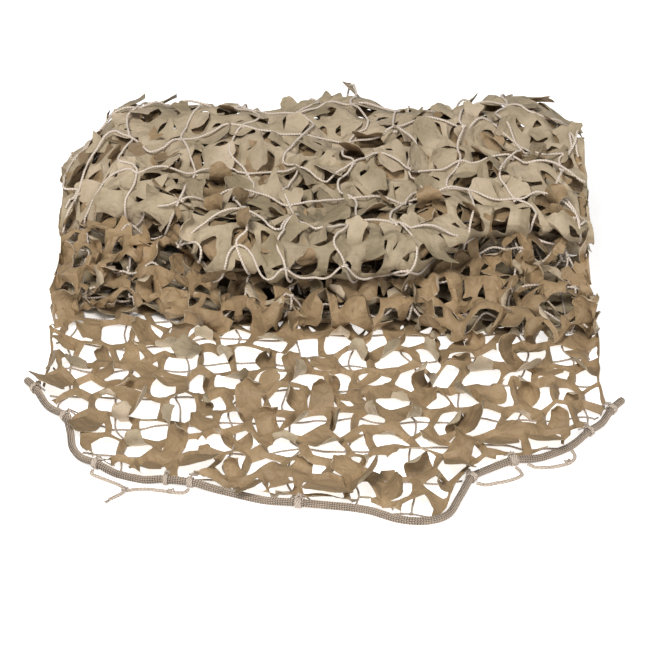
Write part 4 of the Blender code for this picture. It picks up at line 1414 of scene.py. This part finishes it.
TIE_TONE = -0.1
TURN_TWINE = TIE_TWINE * 0.7  # a tie's twine is thinner than the slack cords
TURN_RADIUS = ROPE_DIAMETER / 2 + TURN_TWINE / 2 + 0.1 * MM
TURN_POINTS = 14  # to a turn
TURN_SPREAD = 0.9  # from one turn to the next, as a share of the twine
TIE_KNOT, TIE_KNOT_TURN = 2.8 * MM, 1.1  # and how far each is turned from the last, in radians
LOOSE_STEP = 2 * MM

# The lines of a bow and of a short end, as shares of its length: away from the knot, and to its left.
BOW = ((0, 0), (0.45, 0.3), (1, 0.22), (1.08, -0.05), (0.9, -0.3), (0.4, -0.24), (0, 0))
STEEP = 60  # an end in a direction of more degrees bends to its left, and another to its right
LEFT_END, RIGHT_END = ((0, 0), (0.5, 0.25), (1, 0)), ((0, 0), (0.5, -0.2), (1, 0))


def make_tie(number, tie, finish):
    """One tie: turns of twine round the rope, a knot on the cloth's side, and its bows and ends."""
    places = [i for i, (_, _, tied) in enumerate(ROPE_ROUTE) if tied]
    i = places[number]
    flat = [on_floor(x, y, TIE_RADIUS) for x, y, _ in ROPE_ROUTE]
    centre, along = flat[i], (flat[i + 1] - flat[i - 1]).normalized()
    inwards, up = Vector((-along.y, along.x, 0)), Vector((0, 0, 1))
    bm = bmesh.new()
    rings = round(tie.turns * TURN_POINTS)
    helix = []
    for k in range(rings + 1):
        share = k / rings
        spot = centre + along * (share - 0.5) * tie.turns * TURN_TWINE * TURN_SPREAD
        helix.append(spot + turned(inwards, up, math.tau * tie.turns * share) * TURN_RADIUS)
    add_tube(bm, helix, TURN_TWINE / 2, tone=TIE_TONE)
    knot = centre + turned(inwards, up, math.radians(tie.side)) * (ROPE_DIAMETER / 2 + 2 * TURN_TWINE)
    turn = Matrix.Rotation(number * TIE_KNOT_TURN, 4, "Z")
    add_knot(bm, knot, turn, TIE_KNOT, TURN_TWINE, TIE_TONE)
    loose = [(BOW, *bow) for bow in tie.bows]
    loose += [(LEFT_END if end[1] > STEEP else RIGHT_END, *end) for end in tie.ends]
    for shape, reach, degrees in loose:
        way = turned(along, inwards, math.radians(degrees))
        side = Vector((-way.y, way.x, 0))
        line = [knot + (way * ahead + side * aside) * reach * MM for ahead, aside in shape]
        add_tube(bm, droop(smooth_line(line, LOOSE_STEP), knot), TURN_TWINE / 2, tone=TIE_TONE)
    return show(bm, f"tie_{number + 1}_turns", [finish], [f"tie_{number + 1}"])


FIBRES, FIBRE = 10, 0.6 * MM
FRAY_LENGTH, FRAY_SPREAD, FRAY_RISE = 7 * MM, 3 * MM, 0.5 * MM
FRAY_ROOT = 1 * MM  # how far the fibres reach back into the twine
FRAY_TONE = -0.2
DROOP, DROOP_REACH = 0.75, 14 * MM  # how far towards the floor, and how far out it is that low
TAIL_KNOT = 3.8 * MM
PLIES, PLY = 3, TIE_TWINE * 0.48  # of a slack cord, and each one's radius
PLY_LAY, PLY_STEP = 9 * MM, 1.2 * MM  # how far each turn of a ply takes, and from one ring to the next


def droop(line, knot):
    """Lets a loop or an end sink from its knot towards the floor."""
    sunk = []
    for point in line:
        away = (point - knot).xy.length
        fall = min(1.0, away / DROOP_REACH) ** 1.3
        sunk.append(Vector((point.x, point.y, max(TIE_TWINE / 2, knot.z * (1 - DROOP * fall)))))
    return sunk


def make_fray(name, end, ahead, finish):
    """The loose fibres of a twine's cut end, fanned out."""
    bm = bmesh.new()
    side = np.cross(ahead, (0, 0, 1))
    for k in range(FIBRES):
        spread = (2 * k / (FIBRES - 1) - 1) * FRAY_SPREAD
        reach = FRAY_LENGTH * (0.7 + 0.3 * math.cos(2.4 * k))
        rise = FRAY_RISE * math.sin(1.9 * k)
        root = end - ahead * FRAY_ROOT + side * spread * 0.3
        bend = end + ahead * reach * 0.5 + side * spread * 0.6
        tip = end + ahead * reach + side * spread + np.array((0, 0, rise))
        add_tube(bm, [root, bend, tip], FIBRE / 2, sides=4, tone=FRAY_TONE)
    return show(bm, name, [finish])


def make_tail_knot(name, finish):
    """A small knot tied in a slack cord."""
    x, y = TAIL_KNOTS[name]
    place = on_floor(x, y, TAIL_KNOT)
    bm = bmesh.new()
    add_knot(bm, place, Matrix.Rotation(x, 4, "Z"), TAIL_KNOT, TIE_TWINE, FRAY_TONE)
    return show(bm, name + "_knot", [finish])


def make_slack(name, finish):
    """One slack cord on the floor: three plies of twine wound together."""
    points = [on_floor(x, y, TIE_TWINE / 2) for x, y in TAILS[name]]
    line = spaced(smooth_line(points, 2.5 * TIE_TWINE), PLY_STEP)
    _, aside, above = frames_along(line)
    turn = math.tau * np.arange(len(line)) * PLY_STEP / PLY_LAY
    bm = bmesh.new()
    for start in (0, math.tau / PLIES, 2 * math.tau / PLIES):
        round_it = turned(aside, above, (turn + start)[:, None])
        add_tube(bm, line + (round_it + above) * PLY * 0.8, PLY, sides=5, tone=TIE_TONE)
    piece = show(bm, name + "_twine", [finish], [name])
    cut = name == "tie_end"
    loose = [make_fray(name + "_fray", line[-1], unit(line[-1] - line[-3]), finish)] if cut else []
    if name in TAIL_KNOTS:
        loose.append(make_tail_knot(name, finish))
    facts = {"stiffness": "limp", "lay": "loose", "path": [tuple(point) for point in line]}
    facts["far_end"], facts["with_pieces"] = "bare" if cut else "object", loose
    return piece


# ---------------------------------------------------------------------------------------------------
# The stage.

CAMERA_HEIGHT = math.radians(28)
CAMERA_DISTANCE = 4.0
CAMERA_TARGET = Vector((0, 39.7 * MM, 0))
SHADE_MIDDLE, SHADE_HALF = (0, 196 * MM), (280 * MM, 166 * MM)  # the floor doesn't glow under the heap
SHADE_EDGE = 20 * MM
IMAGE_PIXELS = 646
PIXEL = 1.05 * MM  # at the target


FLOOR_REACH, FLOOR_WHITE, FLOOR_GLOW = 8, 0.93, 0.7
SKY_GLOW = 0.2


def aim(made, place, ahead):
    """Puts a camera or a light in its place, and turns it to face a direction."""
    made.location = place
    made.rotation_euler = ahead.to_track_quat("-Z", "Y").to_euler()


def add_light(name, place, size, power, colour):
    """Adds a square light that faces the netting."""
    light = bpy.data.lights.new(name, "AREA")
    light.size, light.energy, light.color = size, power, colour
    aim(put(name, light), place, CAMERA_TARGET - Vector(place))


def make_floor():
    """The pale floor. It glows a little, so that it looks white away from the heap: painted light over its
    shadows.
    """
    bm = bmesh.new()
    bmesh.ops.create_grid(bm, x_segments=1, y_segments=1, size=FLOOR_REACH)
    paper = Finish("pale_floor", 0.9)
    paper.shader.inputs["Base Color"].default_value = (FLOOR_WHITE, FLOOR_WHITE, FLOOR_WHITE, 1)
    paper.shader.inputs["Specular IOR Level"].default_value = 0
    place = paper.node("ShaderNodeTexCoord", output="Object")
    axes = [paper.node("ShaderNodeSeparateXYZ", {}, {0: place}, axis) for axis in "XY"]
    sides = zip(axes, SHADE_MIDDLE, SHADE_HALF)
    past = [(at - middle).math("ABSOLUTE") - half for at, middle, half in sides]
    share = past[0].math("MAXIMUM", past[1]) / SHADE_EDGE + 1
    paper.feed(emission_color=paper.mix(share, (0, 0, 0), (1, 1, 1)))
    # Painted light: the glow washes out the shadows on the floor, but not under the heap.
    paper.shader.inputs["Emission Strength"].default_value = FLOOR_GLOW
    put_mesh(bm, "floor", [paper.material])


def make_camera():
    """The camera, in front of the netting and above it."""
    camera = bpy.data.cameras.new("camera")
    camera.angle = 2 * math.atan(IMAGE_PIXELS * PIXEL / 2 / CAMERA_DISTANCE)
    back = Vector((0, -math.cos(CAMERA_HEIGHT), math.sin(CAMERA_HEIGHT)))
    made = put("camera", camera)
    aim(made, CAMERA_TARGET + back * CAMERA_DISTANCE, -back)
    bpy.context.scene.camera = made


def make_sky():
    """The faint even light from all round."""
    world = bpy.data.worlds.new("studio")
    world.use_nodes = True
    sky = world.node_tree.nodes["Background"]
    sky.inputs["Color"].default_value = (1.0, 1.0, 1.0, 1)
    sky.inputs["Strength"].default_value = SKY_GLOW
    bpy.context.scene.world = world
    bpy.context.scene.view_settings.view_transform = "Standard"


def make_stage():
    """Everything round the netting: the floor, the camera and the lights."""
    make_floor()
    make_camera()
    make_sky()
    add_light("key", place=(-0.8, -1.5, 2.6), size=0.9, power=80, colour=(1.0, 0.98, 0.95))
    add_light("fill", place=(1.1, -2.3, 1.5), size=1.6, power=28, colour=(0.98, 0.98, 1.0))


# ---------------------------------------------------------------------------------------------------
# The add-on.


def size_property(name, description, default):
    """A size that a user can change."""
    facts = {"name": name, "description": description, "default": default}
    return bpy.props.FloatProperty(min=0.1 * MM, unit="LENGTH", subtype="DISTANCE", **facts)


def colour_property(name, description, default):
    """A colour that a user can change."""
    facts = {"name": name, "description": description, "default": default}
    return bpy.props.FloatVectorProperty(subtype="COLOR", **facts)


class NettingSizes(bpy.types.PropertyGroup):
    cloth: size_property("Cloth", "The cloth's thickness", 0.6 * MM)
    mesh: size_property("Mesh", "From one knot of the net to the next", 60 * MM)
    twine: size_property("Net twine", "The thickness of the net's twine", 2.6 * MM)
    yarn: size_property("Rope yarn", "The thickness of the border rope's yarns", 1.0 * MM)


class NettingColours(bpy.types.PropertyGroup):
    tan: colour_property("Tan face", "The cloth's face colour", (0.313, 0.215, 0.1165))
    beige: colour_property("Beige reverse", "The cloth's reverse colour", (0.437, 0.354, 0.24))
    pink: colour_property("Pale tint", "What the reverse fades to", (0.545, 0.44, 0.322))
    sage: colour_property("Sage tint", "What the reverse darkens to", (0.28, 0.225, 0.14))
    twine: colour_property("Twine", "The net's and the ties' colour", (0.74, 0.64, 0.54))
    # The twine's painted shade: the colour of its strands under the cloth and of the grooves between its
    # plies.
    twine_shade: colour_property("Twine's shade", "The twine's colour where it is dull", (0.25, 0.185, 0.135))
    rope: colour_property("Rope", "The border rope's colour", (0.33, 0.262, 0.2))


def netting_twine(name, colours, pitch):
    """The twine's finish, in the panel's colours and with its plies this far apart along it."""
    return twisted_twine(name, tuple(colours.twine), tuple(colours.twine_shade), pitch)


def shaded(colour, factor):
    """A colour made darker, or paler where the factor is over 1."""
    return tuple(min(1.0, channel * factor) for channel in colour)


class NETTING_OT_stage(bpy.types.Operator):
    """Make the floor, the camera and the lights"""

    bl_idname = "netting.make_stage"
    bl_label = "Stage"

    def execute(self, context):
        make_stage()
        return {"FINISHED"}


class NETTING_OT_cloth(bpy.types.Operator):
    """Cut the cloth and lay it in its folds"""

    bl_idname = "netting.make_cloth"
    bl_label = "Leaf-cut cloth"

    def execute(self, context):
        colours = context.scene.netting_colours
        tan, beige = tuple(colours.tan), tuple(colours.beige)
        face = cloth_face("tan_face", shaded(tan, 1.25), tan, shaded(tan, 0.68), 0.55)
        reverse = cloth_face("beige_reverse", tuple(colours.pink), beige, tuple(colours.sage), 0.6)
        for stretch in STRETCHES:
            make_cloth(stretch, context.scene.netting_sizes.cloth, [face, reverse])
        return {"FINISHED"}


class NETTING_OT_net(bpy.types.Operator):
    """Knot the net and lay it on the cloth's reverse"""

    bl_idname = "netting.make_net"
    bl_label = "Twine net"

    def execute(self, context):
        finish = netting_twine("net_twine_off_white", context.scene.netting_colours, 3 * MM)
        make_net(context.scene.netting_sizes, finish)
        return {"FINISHED"}


class NETTING_OT_rope(bpy.types.Operator):
    """Braid the border rope"""

    bl_idname = "netting.make_rope"
    bl_label = "Border rope"

    def execute(self, context):
        rope = tuple(context.scene.netting_colours.rope)
        # The core is painted shade: nearly black, it shows as the dark of the gaps between the yarns.
        core = Finish("rope_core_painted_shade", 0.9)
        core.shader.inputs["Base Color"].default_value = (*shaded(rope, 0.15), 1)
        finish = braided_yarn("rope_yarn", shaded(rope, 1.9), shaded(rope, 0.22))
        make_rope(context.scene.netting_sizes.yarn, finish, core.material)
        return {"FINISHED"}


class NETTING_OT_ties(bpy.types.Operator):
    """Tie the netting to its rope, and lay the ties' slack on the floor"""

    bl_idname = "netting.make_ties"
    bl_label = "Ties"

    def execute(self, context):
        finish = netting_twine("tie_twine_off_white", context.scene.netting_colours, 4 * MM)
        for number, tie in enumerate(TIES):
            make_tie(number, tie, finish)
        for name in TAILS:
            make_slack(name, finish)
        return {"FINISHED"}


OPERATORS = (NETTING_OT_stage, NETTING_OT_cloth, NETTING_OT_net, NETTING_OT_rope, NETTING_OT_ties)


class NETTING_PT_panel(bpy.types.Panel):
    """The netting's pieces and colours"""

    bl_label = "Camouflage netting"
    bl_idname = "NETTING_PT_panel"
    bl_space_type = "VIEW_3D"
    bl_region_type = "UI"
    bl_category = "Netting"

    def draw(self, context):
        for group in (context.scene.netting_sizes, context.scene.netting_colours):
            for name in type(group).__annotations__:
                self.layout.prop(group, name)
        for operator in OPERATORS:
            self.layout.operator(operator.bl_idname)


CLASSES = (NettingSizes, NettingColours, *OPERATORS, NETTING_PT_panel)


def register():
    for item in CLASSES:
        bpy.utils.register_class(item)
    bpy.types.Scene.netting_sizes = bpy.props.PointerProperty(type=NettingSizes)
    bpy.types.Scene.netting_colours = bpy.props.PointerProperty(type=NettingColours)


def unregister():
    del bpy.types.Scene.netting_sizes
    del bpy.types.Scene.netting_colours
    for item in reversed(CLASSES):
        bpy.utils.unregister_class(item)


def main():
    register()
    for operator in OPERATORS:
        group, name = operator.bl_idname.split(".")
        getattr(getattr(bpy.ops, group), name)()


if __name__ == "__main__":
    main()
